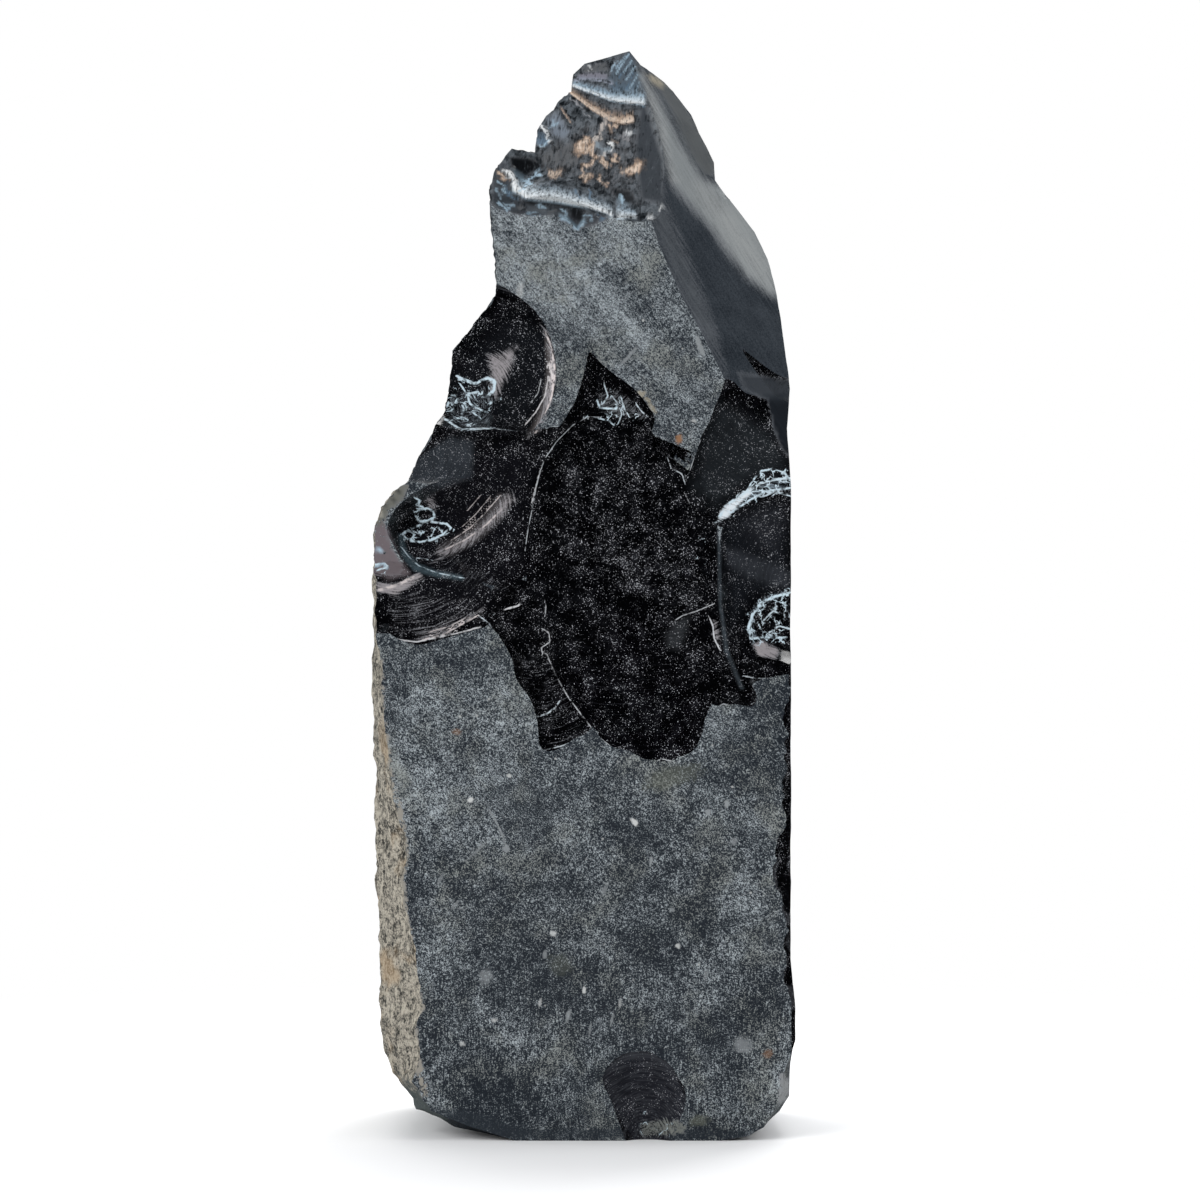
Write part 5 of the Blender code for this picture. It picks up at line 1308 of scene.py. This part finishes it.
for name, values in (("tint_and_painted_light", tint_and_painted_light), ("thread", threads), ("wash", wash)):
    laid = mesh.attributes.new(name, "FLOAT_COLOR", "POINT")
    laid.data.foreach_set("color", values.ravel())
for name, values in (("tinge", tinge), ("dust", dust), ("bruise", bruise)):
    laid = mesh.attributes.new(name, "FLOAT", "POINT")
    laid.data.foreach_set("value", values)

SHARP_EDGE = 32.0
chunk = bpy.data.objects.new("chunk", mesh)
bpy.context.scene.collection.objects.link(chunk)
mesh.polygons.foreach_set("use_smooth", [True] * len(mesh.polygons))
mesh.set_sharp_from_angle(angle=np.radians(SHARP_EDGE))
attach(chunk, "root")
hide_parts("obsidian_chunk")

# The stage: a pale floor that runs out to white, soft boxes and the camera of the photograph.
FLOOR = 0.6
floor_mesh = bpy.data.meshes.new("floor")
floor_corners = [(-FLOOR, -FLOOR, 0), (FLOOR, -FLOOR, 0), (FLOOR, FLOOR, 0), (-FLOOR, FLOOR, 0)]
floor_mesh.from_pydata(floor_corners, [], [(0, 1, 2, 3)])
floor = bpy.data.objects.new("floor", floor_mesh)
bpy.context.scene.collection.objects.link(floor)
pale = bpy.data.materials.new("pale floor")
pale.use_nodes = True
pale.node_tree.nodes.clear()
start = Wire(pale.node_tree)
place = start.node("ShaderNodeTexCoord", output=3)
from_middle = start.node("ShaderNodeVectorMath", {"operation": "LENGTH"}, {0: place}, 1)
matt = start.node("ShaderNodeBsdfDiffuse", None, {"Color": (0.9, 0.9, 0.9, 1.0)})
glow = start.node("ShaderNodeEmission", None, {"Color": (1.0, 1.0, 1.0, 1.0)})
matt = start.node("ShaderNodeMixShader", None, {0: from_middle.rise(0.12, 0.34), 1: matt, 2: glow})
start.node("ShaderNodeOutputMaterial", None, {"Surface": matt})
floor_mesh.materials.append(pale)


def soft_box(name, place, aim_height, size, power, glossy=False):
    """A white lamp aimed at this height over the origin; the gloss mirrors it only if glossy."""
    light = bpy.data.lights.new(name, "AREA")
    light.shape = "RECTANGLE"
    light.size, light.size_y = size
    light.energy = power
    lamp = bpy.data.objects.new(name, light)
    lamp.location = place
    aim = Vector((0.0, 0.0, aim_height)) - Vector(place)
    lamp.rotation_euler = aim.to_track_quat("-Z", "Y").to_euler()
    lamp.visible_glossy = glossy
    bpy.context.scene.collection.objects.link(lamp)


soft_box("key", (-0.9, -1.0, 0.9), 0.12, (0.7, 0.7), 9.0)
soft_box("left side", (-0.9, 0.0, 0.35), 0.15, (0.5, 0.5), 2.5)
soft_box("right side", (0.9, 0.1, 0.5), 0.15, (0.5, 0.5), 2.5)
soft_box("top", (0.0, 0.5, 1.1), 0.12, (0.8, 0.6), 8.0, glossy=True)
soft_box("behind", (0.5, 1.1, 0.6), 0.12, (0.7, 0.7), 8.0)
floor.visible_glossy = False

world = bpy.data.worlds.new("studio")
bpy.context.scene.world = world
world.use_nodes = True
world.node_tree.nodes.clear()
room = Wire(world.node_tree)
seen = room.node("ShaderNodeLightPath", output=0)
glossy = room.node("ShaderNodeLightPath", output=3)
soft = room.node("ShaderNodeBackground", None, {"Color": (0.60, 0.61, 0.63, 1.0)})
dark = room.node("ShaderNodeBackground", None, {"Color": (0.013, 0.014, 0.016, 1.0)})
paper = room.node("ShaderNodeBackground", None, {"Color": (1.0, 1.0, 1.0, 1.0)})
lit = room.node("ShaderNodeMixShader", None, {0: glossy, 1: soft, 2: dark})
lit = room.node("ShaderNodeMixShader", None, {0: seen, 1: lit, 2: paper})
room.node("ShaderNodeOutputWorld", None, {"Surface": lit})
bpy.context.scene.view_settings.view_transform = "Standard"

lens = bpy.data.cameras.new("camera")
lens.sensor_width = 36.0
lens.lens = 122.7
camera = bpy.data.objects.new("camera", lens)
camera.location = (CAMERA_X * 0.001, (FRONT - CAMERA_AWAY) * 0.001, CAMERA_Z * 0.001)
camera.rotation_euler = (np.radians(90.0), 0.0, 0.0)
bpy.context.scene.collection.objects.link(camera)
bpy.context.scene.camera = camera
